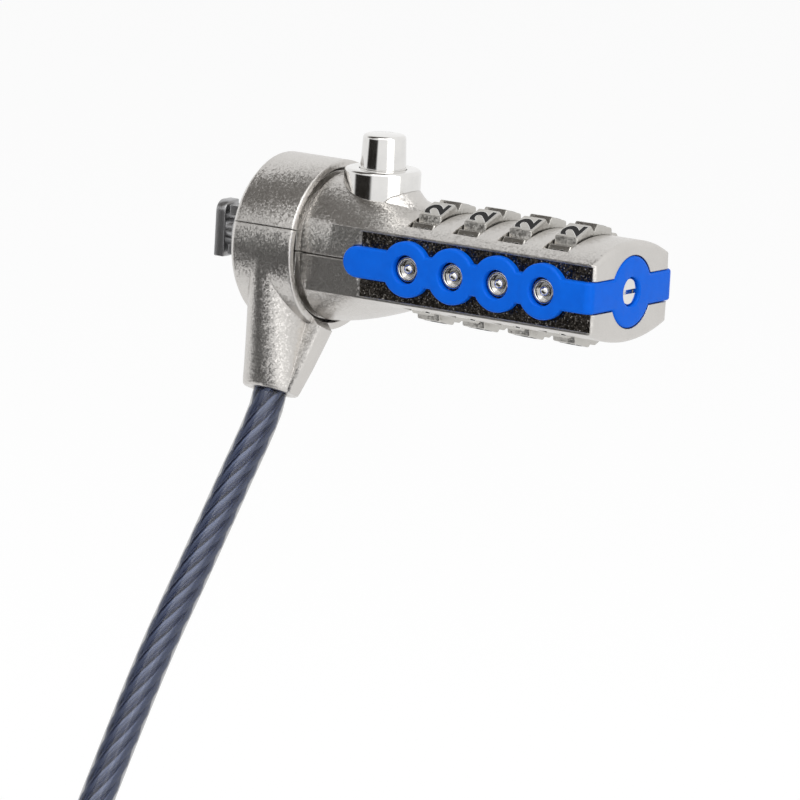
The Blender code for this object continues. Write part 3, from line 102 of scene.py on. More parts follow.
class Look:  # one material, built node by node
    def __init__(self, name, owner=None):
        self.material = owner or bpy.data.materials.new(name)
        self.material.use_nodes = True
        self.tree = self.material.node_tree
        self.tree.nodes.clear()

    def node(self, kind, settings=None, inputs=None, output=0):
        made = self.tree.nodes.new("ShaderNode" + kind)
        for key, value in (settings or {}).items():
            setattr(made, key, value)
        for key, value in (inputs or {}).items():
            if isinstance(value, Field):
                self.tree.links.new(value.socket, made.inputs[key])
            else:
                made.inputs[key].default_value = value
        return Field(self, made.outputs[output])

    def sum(self, operation, *values):
        return self.node("Math", {"operation": operation}, dict(enumerate(values)))

    def clamp(self, value):
        return self.node("Clamp", None, {"Value": value})

    def place(self, scale=(1, 1, 1)):  # the object's own coordinates, in mm
        spot = self.node("TexCoord", None, None, "Object")
        stretch = tuple(1000 * number for number in scale)
        return self.node("VectorMath", {"operation": "MULTIPLY"}, {0: spot, 1: stretch})

    def noise(self, scale, detail=3.0, roughness=0.5, where=None):
        return self.node("TexNoise", None, {
            "Vector": where or self.place(), "Scale": scale, "Detail": detail, "Roughness": roughness})

    def blend(self, share, one, other):
        return self.node("Mix", {"data_type": "RGBA"}, {0: share, 6: one, 7: other}, 2)

    def bump(self, height, distance, strength, normal):
        return self.node("Bump", None, {
            "Height": height, "Distance": distance * mm, "Strength": strength, "Normal": normal})

    def rounded(self, radius):  # small rounds on the edges of the metal
        return self.node("Bevel", {"samples": 4}, {"Radius": radius * mm})

    def flakes(self, size, tilt, normal):  # a small random tilt in each grain of a blasted or plated surface
        grain = self.node("TexVoronoi", None, {"Vector": self.place(), "Scale": 1 / size}, "Color")
        lean = self.node("VectorMath", {"operation": "SUBTRACT"}, {0: grain, 1: (0.5, 0.5, 0.5)})
        lean = self.node("VectorMath", {"operation": "SCALE"}, {0: lean, "Scale": tilt})
        leant = self.node("VectorMath", {"operation": "ADD"}, {0: normal, 1: lean})
        return self.node("VectorMath", {"operation": "NORMALIZE"}, {0: leant})

    def output(self, shader, kind="Material"):
        out = self.tree.nodes.new(f"ShaderNodeOutput{kind}")
        self.tree.links.new(shader.socket, out.inputs[0])
        return self.material

    def finish(self, **inputs):
        named = {key.replace("_", " "): value for key, value in inputs.items()}
        return self.output(self.node("BsdfPrincipled", None, named))


def rgb(red, green, blue):
    return (red, green, blue, 1)


finishes = {
    "pearlDark": rgb(0.57, 0.55, 0.525), "pearlLight": rgb(0.65, 0.63, 0.605), "pearlGrain": 0.17,
    "brightDark": rgb(0.72, 0.71, 0.695), "brightLight": rgb(0.80, 0.79, 0.77),
    "dialDark": rgb(0.47, 0.455, 0.425), "dialLight": rgb(0.54, 0.525, 0.495),
    "panelDark": rgb(0.05, 0.044, 0.038), "panelLight": rgb(0.60, 0.57, 0.53),
    "blueDark": rgb(0.0, 0.13, 0.78), "blueLight": rgb(0.0, 0.165, 0.92),
    "sleeveDark": rgb(0.004, 0.007, 0.028), "sleeveLight": rgb(0.008, 0.013, 0.045),
}


def pearlNickel():
    look = Look("pearlNickel")
    tone = look.blend(look.noise(0.35, 3), finishes["pearlDark"], finishes["pearlLight"])
    grain = look.flakes(finishes["pearlGrain"], 0.22, look.rounded(0.16))
    return look.finish(Base_Color=tone, Metallic=1.0, Roughness=0.26 + look.noise(6.0, 2) * 0.12, Normal=grain)


def panelNickel():
    look = Look("panelNickel")
    glint = look.clamp(look.noise(4.6, 2, 0.4) * 6.0 - 3.6)
    tone = look.blend(glint, finishes["panelDark"], finishes["panelLight"])
    grain = look.flakes(0.2, 0.58, look.rounded(0.1))
    return look.finish(Base_Color=tone, Metallic=1.0, Roughness=0.3 + glint * 0.1, Normal=grain)


def brightNickel():
    look = Look("brightNickel")
    wipe = look.noise(1.2, 3)
    tone = look.blend(wipe, finishes["brightDark"], finishes["brightLight"])
    soft = look.bump(look.noise(1.5, 2), 0.004, 0.25, look.rounded(0.1))
    return look.finish(Base_Color=tone, Metallic=1.0, Roughness=0.07 + wipe * 0.08, Normal=soft)


def dialNickel():
    look = Look("dialNickel")
    cloud = look.noise(0.8, 3)
    tone = look.blend(cloud, finishes["dialDark"], finishes["dialLight"])
    grain = look.flakes(0.2, 0.16, look.rounded(0.1))
    return look.finish(Base_Color=tone, Metallic=1.0, Roughness=0.24 + cloud * 0.1, Normal=grain)


def machined(name, tone, rough):
    look = Look(name)
    brush = look.noise(3.0, 3, 0.6, look.place((0.4, 3, 3)))
    dark = rgb(*(number * 0.86 for number in tone[:3]))
    worked = look.bump(brush, 0.01, 0.4, look.rounded(0.08))
    return look.finish(
        Base_Color=look.blend(brush, dark, tone), Metallic=1.0, Roughness=rough + brush * 0.12, Normal=worked)


def blueTrim():
    look = Look("blueTrim")
    cloud = look.noise(0.7, 3)
    tone = look.blend(cloud, finishes["blueDark"], finishes["blueLight"])
    soft = look.bump(look.noise(9.0, 2), 0.004, 0.5, look.rounded(0.12))
    return look.finish(Base_Color=tone, Roughness=0.3 + cloud * 0.12, Specular_IOR_Level=0.12, Normal=soft)


def digitInk():
    look = Look("digitInk")
    worn = look.noise(5.0, 3)
    tone = look.blend(worn, rgb(0.004, 0.004, 0.004), rgb(0.012, 0.012, 0.012))
    return look.finish(Base_Color=tone, Roughness=0.45 + worn * 0.2, Specular_IOR_Level=0.2)


def clearSleeve():
    look = Look("clearSleeve")
    cloud = look.noise(0.5, 3)
    tone = look.blend(cloud, finishes["sleeveDark"], finishes["sleeveLight"])
    return look.finish(
        Base_Color=tone, Roughness=0.10 + cloud * 0.08, Alpha=0.46, Coat_Weight=0.6, Coat_Roughness=0.05)


pearl = pearlNickel()
panel = panelNickel()
bright = brightNickel()
dialMetal = dialNickel()
steel = machined("toolSteel", rgb(0.42, 0.42, 0.425), 0.28)
brass = machined("brass", rgb(0.76, 0.56, 0.25), 0.25)
spring = machined("springSteel", rgb(0.55, 0.55, 0.54), 0.25)
wire = machined("ropeWire", rgb(0.19, 0.225, 0.34), 0.18)
blue = blueTrim()
ink = digitInk()
sleeve = clearSleeve()

nodeLooks = (  # the start of a node's name, and its finish
    ("code_sleeve", brass), ("swivel_washer", brass), ("button_spring", spring), ("spindle_spring", spring),
    ("push_button", bright), ("code_reset", bright), ("detent", bright), ("loop_ferrule", bright),
    ("cable_crimp", bright), ("upper_housing", pearl), ("lower_housing", pearl), ("collar_upper", pearl),
    ("collar_lower", pearl), ("dial_", dialMetal), ("trim_strip", blue), ("cable", sleeve), ("end_loop", sleeve),
    ("", steel),
)


def dressNodes():
    for name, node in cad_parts.items():
        look = next(look for start, look in nodeLooks if name.startswith(start))
        node.data.materials.clear()
        node.data.materials.append(look)


dressNodes()
print("finishes made")


def addPiece(name, data, body, looks, nodes=()):
    made = placed(name, data)
    for look in looks:
        data.materials.append(look)
    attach(made, body)
    if nodes:
        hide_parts(*nodes)
    return made


facingX = Matrix(((0, 0, 1, 0), (1, 0, 0, 0), (0, 1, 0, 0), (0, 0, 0, 1)))  # local Z becomes X
facingFront = Matrix(((1, 0, 0, 0), (0, 0, -1, 0), (0, 1, 0, 0), (0, 0, 0, 1)))  # local Z points to -Y
facingBack = Matrix.Rotation(math.pi, 4, "Z") @ facingFront


def shifted(x=0.0, y=0.0, z=0.0):
    return Matrix.Translation((x, y, z))


def solid(name, bm):  # every solid is built in mm and scaled once, when it becomes a piece
    bmesh.ops.recalc_face_normals(bm, faces=bm.faces)
    return placed(name, meshOf(name, bm))


def skin(name, loops, place=None):  # a closed skin through loops of equal numbers of points
    bm = bmesh.new()
    place = place or Matrix.Identity(4)
    rings = [[bm.verts.new(place @ Vector(point)) for point in loop] for loop in loops]
    for one, other in zip(rings, rings[1:]):
        for index in range(len(one)):
            after = (index + 1) % len(one)
            bm.faces.new((one[index], one[after], other[after], other[index]))
    bm.faces.new(rings[0][::-1])
    bm.faces.new(rings[-1])
    return solid(name, bm)


def lathe(name, profile, place=facingX, sides=64):  # profile of (radius, height), turned round the place's Z
    bm = bmesh.new()
    turns = [math.tau * step / sides for step in range(sides)]
    rings = []
    for radius, height in profile:
        if radius < 1e-6:
            rings.append([bm.verts.new(place @ Vector((0, 0, height)))])
        else:
            rings.append([bm.verts.new(place @ Vector((radius * math.cos(turn), radius * math.sin(turn), height)))
                          for turn in turns])
    for one, other in zip(rings, rings[1:] + rings[:1]):
        if len(one) == len(other) == 1:
            continue
        for index in range(sides):
            after = (index + 1) % sides
            if len(one) == 1:
                bm.faces.new((one[0], other[index], other[after]))
            elif len(other) == 1:
                bm.faces.new((one[index], one[after], other[0]))
            else:
                bm.faces.new((one[index], one[after], other[after], other[index]))
    return solid(name, bm)


def rod(name, radius, low, high, place=facingX, sides=48):
    return lathe(name, [(0, low), (radius, low), (radius, high), (0, high)], place, sides)


def slab(name, outline, low, high, place=None):
    return skin(name, [[(x, y, height) for x, y in outline] for height in (low, high)], place)


def block(name, low, high):
    corners = [(low[0], low[1]), (high[0], low[1]), (high[0], high[1]), (low[0], high[1])]
    return slab(name, corners, low[2], high[2])


def filleted(points, steps=4):  # a closed outline of (x, y, radius), with each corner turned on its radius
    made = []
    for index, (x, y, radius) in enumerate(points):
        if not radius:
            made.append((x, y))
            continue
        here = Vector((x, y))
        before = (Vector(points[index - 1][:2]) - here).normalized()
        after = (Vector(points[(index + 1) % len(points)][:2]) - here).normalized()
        half = before.angle(after) / 2
        centre = here + (before + after).normalized() * radius / math.sin(half)
        start = here + before * radius / math.tan(half) - centre
        end = here + after * radius / math.tan(half) - centre
        first = math.atan2(start.y, start.x)
        swing = (math.atan2(end.y, end.x) - first + math.pi) % math.tau - math.pi
        for step in range(steps + 1):
            turn = first + swing * step / steps
            made.append((centre.x + radius * math.cos(turn), centre.y + radius * math.sin(turn)))
    return made


def carve(target, tools, operation="DIFFERENCE"):  # joins the tools to the target, or takes them out of it
    group = bpy.data.collections.new("tools")
    scene.collection.children.link(group)
    for tool in tools:
        group.objects.link(tool)
    step = target.modifiers.new("carve", "BOOLEAN")
    step.operation, step.solver, step.operand_type, step.collection = operation, "EXACT", "COLLECTION", group
    data = evaluated(target)
    target.modifiers.clear()
    target.data = data
    for tool in tools:
        bpy.data.objects.remove(tool, do_unlink=True)
    bpy.data.collections.remove(group)


def asPiece(made, body, looks, nodes=(), lean=None, sharp=30):
    data = made.data
    if lean is not None:
        data.transform(lean)
    data.transform(Matrix.Scale(mm, 4))
    data.materials.clear()
    data.shade_smooth()
    data.set_sharp_from_angle(angle=math.radians(sharp))
    name = made.name
    bpy.data.objects.remove(made, do_unlink=True)
    return addPiece(name, data, body, looks, nodes)


def smoothRoute(points, spacing, before=None):  # even steps on a smooth curve through the points
    ends = [before or 2 * points[0] - points[1], *points, 2 * points[-1] - points[-2]]
    fine = []
    for a, b, c, d in zip(ends, ends[1:], ends[2:], ends[3:]):
        for step in range(40):
            t = step / 40
            square = (2 * a - 5 * b + 4 * c - d) * t**2
            cube = (3 * b - a - 3 * c + d) * t**3
            fine.append(0.5 * (2 * b + (c - a) * t + square + cube))
    fine.append(points[-1])
    lengths = [0.0]
    for a, b in zip(fine, fine[1:]):
        lengths.append(lengths[-1] + (b - a).length)
    count = max(2, round(lengths[-1] / spacing))
    route = []
    for step in range(count + 1):
        wanted = lengths[-1] * step / count
        index = min(max(int(np.searchsorted(lengths, wanted)), 1), len(fine) - 1)
        share = (wanted - lengths[index - 1]) / (lengths[index] - lengths[index - 1])
        route.append(fine[index - 1].lerp(fine[index], share))
    return route


housing = {
    "flat": 8.35,  # middle of the lock to its flat sides
    "draft": 0.14,  # how far a flat leans in from the seam to its edge
    "neckStart": 6.75, "neckEnd": 13.9, "neckRadius": 9.1,
    "halfHeight": 6.1, "edgeHeight": 4.0, "lowEdge": 4.45, "blendLength": 12.1,
    "endFace": 56.05, "endRound": 0.8, "seam": 0.12, "seamEdge": 0.1,
    "panelStart": 21.8, "panelHigh": 3.7, "panelLow": -4.15, "panelFace": 8.1, "panelSlope": 0.8,
    "panelSteep": 0.25, "panelWall": 0.4, "endDepth": 0.95,
    "fit": 0.1,  # the room round the trim strip in its pocket
    "bossRadius": 4.67, "bossTop": 10.2, "bossFoot": 2.9,
    "fairingLength": 8.0, "fairingFlat": 3.2, "fairingTop": 9.6, "fairingEnd": 6.12,
    "fairingHalf": 4.5, "fairingTaper": 1.7, "fairingHollow": 1.7,
    "gearbox": ((14.8, -3.72, -4.92), (22.4, 3.72, 4.7)),
    "pins": ((25.1, -5.6), (25.1, 5.6), (53.35, -5.6), (53.35, 5.6)),
}
dial = {
    "places": (29.55, 36.05, 42.55, 49.05), "width": 3.2, "radius": 7.45, "chamber": 7.65,
    "notchDepth": 0.85, "notchAngle": 10.8, "firstNotch": 3.9, "bore": 4.6, "boreNotch": 0.5,
    "leftGap": 0.15, "rightGap": 0.3, "windowHalf": 6.55, "windowFoot": 3.0,
    "digitHeight": 2.5, "digitWidth": 2.1, "digitStroke": 0.105, "digitLift": 0.014,
    "highlightRimStroke": 0.16, "highlightRimLift": 0.006,  # the bright nickel rim round each digit: a painted highlight in place of the bevel of the engraving
}
button = {
    "x": 19.6, "radius": 2.8, "topRadius": 2.6, "top": 14.3, "ceiling": 8.0, "bore": 2.9, "well": 3.8,
    "flange": 3.5, "flangeLow": 6.95, "flangeHigh": 7.95, "stem": 2.2, "foot": -0.4, "yokeTop": 4.4,
}
strip = {
    "base": 8.15, "face": 9.1, "endBase": 55.15, "endFace": 56.1, "half": 1.9, "ring": 3.4, "hole": 1.74,
    "disc": 4.35, "discHole": 1.78, "tip": 22.4, "round": 0.34,
}
crank = 3.0 / math.sqrt(2)


def housingSection(x, inset, side):
    share = min(max((x - housing["neckEnd"]) / housing["blendLength"], 0), 1)
    height = housing["neckRadius"] + (housing["halfHeight"] - housing["neckRadius"]) * share**1.6
    flat = housing["flat"]
    edge, top = housing["edgeHeight" if side > 0 else "lowEdge"], flat - housing["draft"]
    if share == 0:  # still the round neck
        edge, top = math.sqrt(housing["neckRadius"] ** 2 - flat**2), flat
    arc = ((height - edge) ** 2 + top**2) / (2 * (height - edge))
    height -= inset
    widest = math.asin((top - inset) / arc)
    points = []
    for step in range(49):
        angle = widest * (2 * step / 48 - 1)
        points.append((x, arc * math.sin(angle), side * (height - arc + arc * math.cos(angle))))
    low, rim = side * housing["seam"] / 2, housing["seamEdge"]
    return points + [
        (x, flat - inset, low + side * rim), (x, flat - inset - rim, low),
        (x, rim + inset - flat, low), (x, inset - flat, low + side * rim)]


def housingHalf(name, side):
    end, length = housing["neckEnd"], housing["blendLength"]
    stations = [(housing["neckStart"], 0.0), (end, 0.0)]
    shares = (0.03, 0.07, 0.12, 0.18, 0.25, 0.32, 0.4, 0.5, 0.6, 0.7, 0.8, 0.9, 1.0)
    stations += [(end + length * share, 0.0) for share in shares]
    size = housing["endRound"]
    for step in range(7):
        turn = math.radians(15 * step)
        stations.append((housing["endFace"] - size * (1 - math.sin(turn)), size * (1 - math.cos(turn))))
    return skin(name, [housingSection(x, inset, side) for x, inset in stations])


def fairing():  # runs down from the button's boss to the first dial
    loops, length, flat = [], housing["fairingLength"], housing["fairingFlat"]
    turns = [math.pi * turn / 32 for turn in range(33)]
    for step in range(15):
        share = step / 14
        run = max(share * length - flat, 0) / (length - flat)
        drop = (housing["fairingTop"] - housing["fairingEnd"]) * (1 - run) ** housing["fairingHollow"]
        top, half = housing["fairingEnd"] + drop, housing["fairingHalf"] - housing["fairingTaper"] * run
        x = button["x"] + length * share
        loops.append([(x, half * math.cos(turn), 3 + (top - 3) * math.sin(turn)) for turn in turns])
    return skin("fairing", loops)


def housingTools():  # every pocket, bore and window that the halves share
    deep, end, half = 21.0, housing["endFace"], dial["windowHalf"]
    tools, upward = [], shifted(button["x"])
    for x in dial["places"]:
        low, high = x - dial["width"] / 2 - dial["leftGap"], x + dial["width"] / 2 + dial["rightGap"]
        tools += [
            rod("chamber", dial["chamber"], low, high, sides=80),
            block("window", (low, -half, dial["windowFoot"]), (high, half, deep)),
            block("window", (low, -half, -deep), (high, half, -dial["windowFoot"])),
            rod("plugBore", 1.55, 3.8, deep, facingFront @ shifted(x), 32),
            rod("plugBore", 1.55, 3.8, deep, facingBack @ shifted(-x), 32)]
    neck = housing["neckEnd"]
    shoulder = [(7.9, neck), (8.25, neck)]  # the hollow round behind the collar
    for step in range(1, 7):
        turn = math.radians(15 * step)
        shoulder.append((8.35 + 0.95 * math.sin(turn), neck + 0.9 * (1 - math.cos(turn))))
    shoulder += [(deep, 14.8), (deep, 13.2), (7.9, 13.2)]
    tools += [
        rod("spindleBore", 3.1, 22.3, 54.6),
        rod("resetBore", 1.75, 54.5, end + deep),
        block("gearbox", *housing["gearbox"]),
        rod("shaftBore", 1.4, 9.85, 14.9),
        rod("flangePocket", 5.25, 9.8, 11.3, sides=64),
        rod("noseBore", 3.35, 4.6, 9.85, sides=64),
        lathe("swivelGroove", [(7.4, 10.15), (deep, 10.15), (deep, 8.15), (7.4, 8.15)], facingX, 96),
        lathe("shoulderGroove", shoulder, facingX, 160),
        rod("buttonWell", button["well"], 2.2, button["ceiling"], upward),
        rod("buttonBore", button["bore"], button["ceiling"] - 0.1, deep, upward, 64),
        rod("springPocket", 2.0, -6.12, -4.8, upward)]
    pocket, close = strip["half"] + housing["fit"], end - housing["panelWall"]
    slope = housing["panelStart"] + housing["panelSlope"]
    reach = housing["panelSlope"] / housing["panelSteep"] * (deep - housing["panelFace"])
    for side in (-1, 1):
        face, far = side * housing["panelFace"], side * deep
        near, away = sorted((face, far))
        facing = facingFront @ shifted(strip["tip"]) if side < 0 else facingBack @ shifted(-strip["tip"])
        outline = [(slope, face), (close, face), (close, far), (slope - reach, far)]
        tools += [
            slab("panel", outline, housing["panelLow"], housing["panelHigh"]),
            block("strapPocket", (strip["tip"], near, -pocket), (end, away, pocket)),
            rod("tipPocket", pocket, housing["panelFace"], deep, facing)]
    floor = end - housing["endDepth"]
    tools += [
        block("endPocket", (floor, -deep, -pocket), (end + deep, deep, pocket)),
        rod("endDiscPocket", strip["disc"] + housing["fit"], floor, end + deep, sides=96)]
    return tools + [rod("pinBore", 0.75, -2.55, 2.55, shifted(x, y), 24) for x, y in housing["pins"]]


def dressPanels(data):  # the recessed panels have a darker, coarser finish
    for face in data.polygons:
        middle = face.center / mm
        if abs(abs(middle.y) - housing["panelFace"]) < 0.02 and middle.x > housing["panelStart"]:
            if abs(face.normal.y) > 0.9:
                face.material_index = 1


def makeHousing():
    upper = housingHalf("upperHousing", 1)
    carve(upper, [fairing()], "UNION")
    radius, top, foot = housing["bossRadius"], housing["bossTop"], housing["bossFoot"]
    carve(upper, [*housingTools(), rod("bossSeat", radius, foot, 20, shifted(button["x"]), 96)])
    lower = housingHalf("lowerHousing", -1)
    carve(lower, housingTools())
    for half, node in ((upper, "upper_housing"), (lower, "lower_housing")):
        made = asPiece(half, "lock_housing", [pearl, panel], [node])
        dressPanels(made.data)
    bore, well, ceiling = button["bore"], button["well"], button["ceiling"]
    profile = filleted([
        (bore, top, 0.12), (radius, top, 0.45), (radius, foot, 0), (well, foot, 0), (well, ceiling, 0),
        (bore, ceiling, 0)])
    boss = lathe("buttonBoss", profile, shifted(button["x"]), 128)
    away, wide, high = housing["gearbox"][1]
    carve(boss, [block("gearboxRoom", (10, -wide, 0), (away, wide, high))])
    asPiece(boss, "lock_housing", [bright])


makeHousing()
print("housing made")

collar = {
    "start": 4.6, "end": 13.7, "middle": 9.15, "radius": 10.4, "bore": 9.5, "ribBore": 7.7, "ribHalf": 0.7,
    "chamfer": 0.8, "wall": 1.8, "noseHole": 3.5, "reach": 18.95, "lean": math.radians(-19.5),
    "split": math.radians(3.5),  # the parting plane, against the boss
    "bossWidths": (  # how far below the middle, half the length along the lock, half the width across it
        (1.0, 4.2, 10.26), (2.4, 4.19, 10.0), (3.85, 4.15, 9.62), (5.4, 4.09, 9.06), (7.2, 4.01, 8.32),
        (9.5, 3.92, 7.34), (12.0, 3.82, 6.3), (14.5, 3.71, 5.26), (16.5, 3.62, 4.42), (18.0, 3.55, 3.8),
        (18.6, 3.5, 3.54), (18.8, 3.43, 3.45), (18.95, 3.25, 3.25)),
    "gusset": ((8.6, 15.4, 1.7), (12.0, 14.62, 1.55), (15.5, 13.75, 1.42), (18.6, 12.83, 1.3), (18.95, 12.6, 1.1)),
}


def bossSkin():
    loops, turns = [], [math.tau * step / 96 for step in range(96)]
    for reach, length, width in collar["bossWidths"]:
        loops.append([(collar["middle"] + length * math.cos(turn), width * math.sin(turn), -reach) for turn in turns])
    return skin("boss", loops)


def gussetSkin():
    loops = []
    for reach, end, half in collar["gusset"]:
        corners = [(collar["middle"], -half, 0), (end, -half, 0.55), (end, half, 0.55), (collar["middle"], half, 0)]
        loops.append([(x, y, -reach) for x, y in filleted(corners, 6)])
    return skin("gusset", loops)


def collarTools():
    radius, bore, rib, hole = collar["radius"], collar["bore"], collar["ribBore"], collar["noseHole"]
    near, far = collar["middle"] - collar["ribHalf"], collar["middle"] + collar["ribHalf"]
    start, wall = collar["start"], collar["start"] + collar["wall"]
    inside = [
        (0, 20.0), (radius, 20.0), (radius, 14.63), (bore, 13.73), (bore, far), (rib, far), (rib, near),
        (bore, near), (bore, wall), (hole, wall), (hole, start + 0.15), (hole + 0.15, start),
        (hole + 0.15, start - 1), (0, start - 1)]
    downward = shifted(collar["middle"]) @ Matrix.Rotation(math.pi, 4, "X")
    reach = collar["reach"]
    mouth = [(0, 9.9), (2.2, 9.9), (2.2, reach - 0.2), (2.4, reach), (2.4, 2 * reach), (0, 2 * reach)]
    return [
        lathe("inside", inside, facingX, 128),
        rod("crimpPocket", 2.85, 0, 12.9, downward),
        lathe("cableBore", mouth, downward),
        *[rod("pinBore", 0.55, -2.05, 2.05, shifted(5.5, y), 24) for y in (-6.4, 6.4)]]


def makeCollar():
    start, end, radius, chamfer = collar["start"], collar["end"], collar["radius"], collar["chamfer"]
    profile = filleted([
        (0, end, 0), (radius, end, 0.25), (radius, start + chamfer, 0.35), (radius - chamfer, start, 0.35),
        (0, start, 0)])
    lean = Matrix.Rotation(collar["lean"], 4, "X")
    for name, side, node in (("collarUpper", 1, "collar_upper"), ("collarLower", -1, "collar_lower")):
        half = lathe(name, profile, facingX, 160)
        if side < 0:
            carve(half, [bossSkin()], "UNION")
            carve(half, [gussetSkin()], "UNION")
        carve(half, collarTools())
        near, away = sorted((side * 0.06, -side * 40))
        waste = block("waste", (-40, -40, near), (40, 40, away))
        waste.data.transform(Matrix.Rotation(collar["split"], 4, "X"))
        carve(half, [waste])
        asPiece(half, "swivel_collar", [pearl], [node], lean)


makeCollar()
print("collar made")

nose = {
    "radius": 3.3, "bore": 1.4, "flange": 5.2, "flangeStart": 9.85, "flangeEnd": 11.25,
    "pegFrom": 1.8, "pegTo": 3.0, "pegHalf": 1.3, "pegTip": -1.8, "pegRoot": 2.3,
}
tBar = {
    "half": 1.45, "long": 3.45, "round": 1.35, "front": -3.65, "back": -2.2, "chamfer": 0.16,
    "shaft": 1.3, "shaftEnd": 16.35,
}


def makeNose():
    radius, bore, flange = nose["radius"], nose["bore"], nose["flange"]
    start, end = nose["flangeStart"], nose["flangeEnd"]
    profile = filleted([
        (bore, end, 0), (flange, end, 0.15), (flange, start, 0), (radius, start, 0), (radius, 0, 0.35),
        (bore, 0, 0.12)])
    core = lathe("noseCore", profile, facingX, 96)
    tip, root, half = nose["pegTip"], nose["pegRoot"], nose["pegHalf"]
    pegs = []
    for side in (1, -1):
        low, high = sorted((side * nose["pegTo"], side * nose["pegFrom"]))
        outline = filleted([(tip, -half, 0.3), (root, -half, 0), (root, half, 0), (tip, half, 0.3)])
        pegs.append(slab("peg", outline, low, high))
    carve(core, pegs, "UNION")
    asPiece(core, "lock_housing", [steel], ["nose_core"])


def makeTBar():
    half, long, outline = tBar["half"], tBar["long"], []
    for side in (1, -1):  # two opposite corners are round, so that it turns one way only in the slot
        outline += [(side * half, -side * long, 0.12), (side * half, side * long, tBar["round"])]
    drawn = [(-y, z) for y, z in filleted(outline, 10)][::-1]
    loops, front, back, edge = [], tBar["front"], tBar["back"], tBar["chamfer"]
    for height, inset in ((front, edge), (front + 0.05, 0.05), (front + edge, 0.0),
                          (back - edge, 0.0), (back - 0.05, 0.05), (back, edge)):
        loops.append([(y * (1 - inset / half), z * (1 - inset / long), height) for y, z in drawn])
    head = skin("tBar", loops, facingX)
    carve(head, [rod("shaft", tBar["shaft"], -2.9, tBar["shaftEnd"], sides=64)], "UNION")
    asPiece(head, "t_bar", [steel], ["t_bar"])


makeNose()
makeTBar()


def makeButton():
    top, wide, high = button["radius"], button["topRadius"], button["top"]
    flange, low, ledge = button["flange"], button["flangeLow"], button["flangeHigh"]
    stem, foot, yokeTop = button["stem"], button["foot"], button["yokeTop"]
    outline = filleted([
        (0, high + 0.12, 0), (wide, high, 0.45), (top, housing["bossTop"], 0), (top, ledge, 0),
        (flange, ledge, 0.12), (flange, low, 0.12), (stem, low, 0), (stem, foot, 0), (0, foot, 0)], 6)
    made = lathe("pushButton", outline, shifted(button["x"]), 96)
    level, half = crank / math.sqrt(2), 0.67
    reach = crank + half + 0.55
    yoke = block("yoke", (16.9, -reach, foot), (18.1, reach, yokeTop))
    x, back = button["x"], button["x"] + stem
    drawn = [(x, foot), (back, foot), (back, 0), (back + 1, 3), (back + 1, yokeTop), (x, yokeTop)]
    ramp = slab("ramp", drawn, -0.8, 0.8, facingFront)
    carve(made, [yoke], "UNION")
    carve(made, [ramp], "UNION")
    slot = block("slot", (16.7, -crank - half, level - half), (18.2, -level + half, level + half))
    carve(made, [slot])
    asPiece(made, "push_button", [bright], ["push_button"])


makeButton()
print("nose, T-bar and button made")


def dialOutline(inset):  # ten flat pads with a V notch for the finger between each two
    half, points = math.radians(dial["notchAngle"] / 2), []
    bottom = dial["radius"] - dial["notchDepth"]
    for number in range(10):
        middle = math.pi / 2 + math.radians(dial["firstNotch"]) + math.tau * number / 10
        for radius, offset, turn in ((dial["radius"], -half, 0.12), (bottom, 0, 0.08), (dial["radius"], half, 0.12)):
            reach = radius - inset
            points.append((reach * math.cos(middle + offset), reach * math.sin(middle + offset), turn))
    return filleted(points, 3)


def boreOutline():
    points, half = [], math.radians(9)
    for number in range(10):
        middle = math.tau * (number + 0.5) / 10 + math.pi / 2
        for radius, offset in ((dial["bore"], -half), (dial["bore"] + dial["boreNotch"], -half),
                               (dial["bore"] + dial["boreNotch"], half), (dial["bore"], half)):
            points.append((radius * math.cos(middle + offset), radius * math.sin(middle + offset)))
    return points


def digitShape(text, offset):  # one digit as mesh data, flat, 0.02 mm thick
    data = bpy.data.curves.new("digit", "FONT")
    data.body, data.size, data.extrude, data.offset = text, 3.0, 0.01, offset
    data.align_x, data.align_y, data.resolution_u = "CENTER", "CENTER", 8
    made = placed("digit", data)
    shape = evaluated(made)
    bpy.data.objects.remove(made, do_unlink=True)
    return shape


def digitScale():
    shape = digitShape("2", 0.0)
    spots = np.array([vert.co for vert in shape.vertices])
    spread = spots.max(axis=0) - spots.min(axis=0)
    middle = (spots.max(axis=0) + spots.min(axis=0)) / 2
    return dial["digitWidth"] / spread[0], dial["digitHeight"] / spread[1], middle[1]


def makeDigits(name, body, x, offset, lift, look):
    wide, tall, level = digitScale()
    flat = dial["radius"] * math.cos(math.radians(18 - dial["notchAngle"] / 2))
    bm = bmesh.new()
    for number in range(10):
        shape = digitShape(str((2 + number) % 10), offset)
        lean = math.radians(dial["firstNotch"] + 18 + 36 * number)
        outward = Vector((0, -math.sin(lean), math.cos(lean)))
        along = Vector((0, math.cos(lean), math.sin(lean)))
        turn = Matrix((along, Vector((-1, 0, 0)), outward)).transposed().to_4x4()
        place = Matrix.Translation(Vector((x, 0, 0)) + outward * (flat + lift)) @ turn
        shape.transform(place @ Matrix.Diagonal((wide, tall, 1, 1)) @ shifted(y=-level))
        bm.from_mesh(shape)
    bmesh.ops.remove_doubles(bm, verts=bm.verts, dist=1e-5)
    asPiece(solid(name, bm), body, [look])


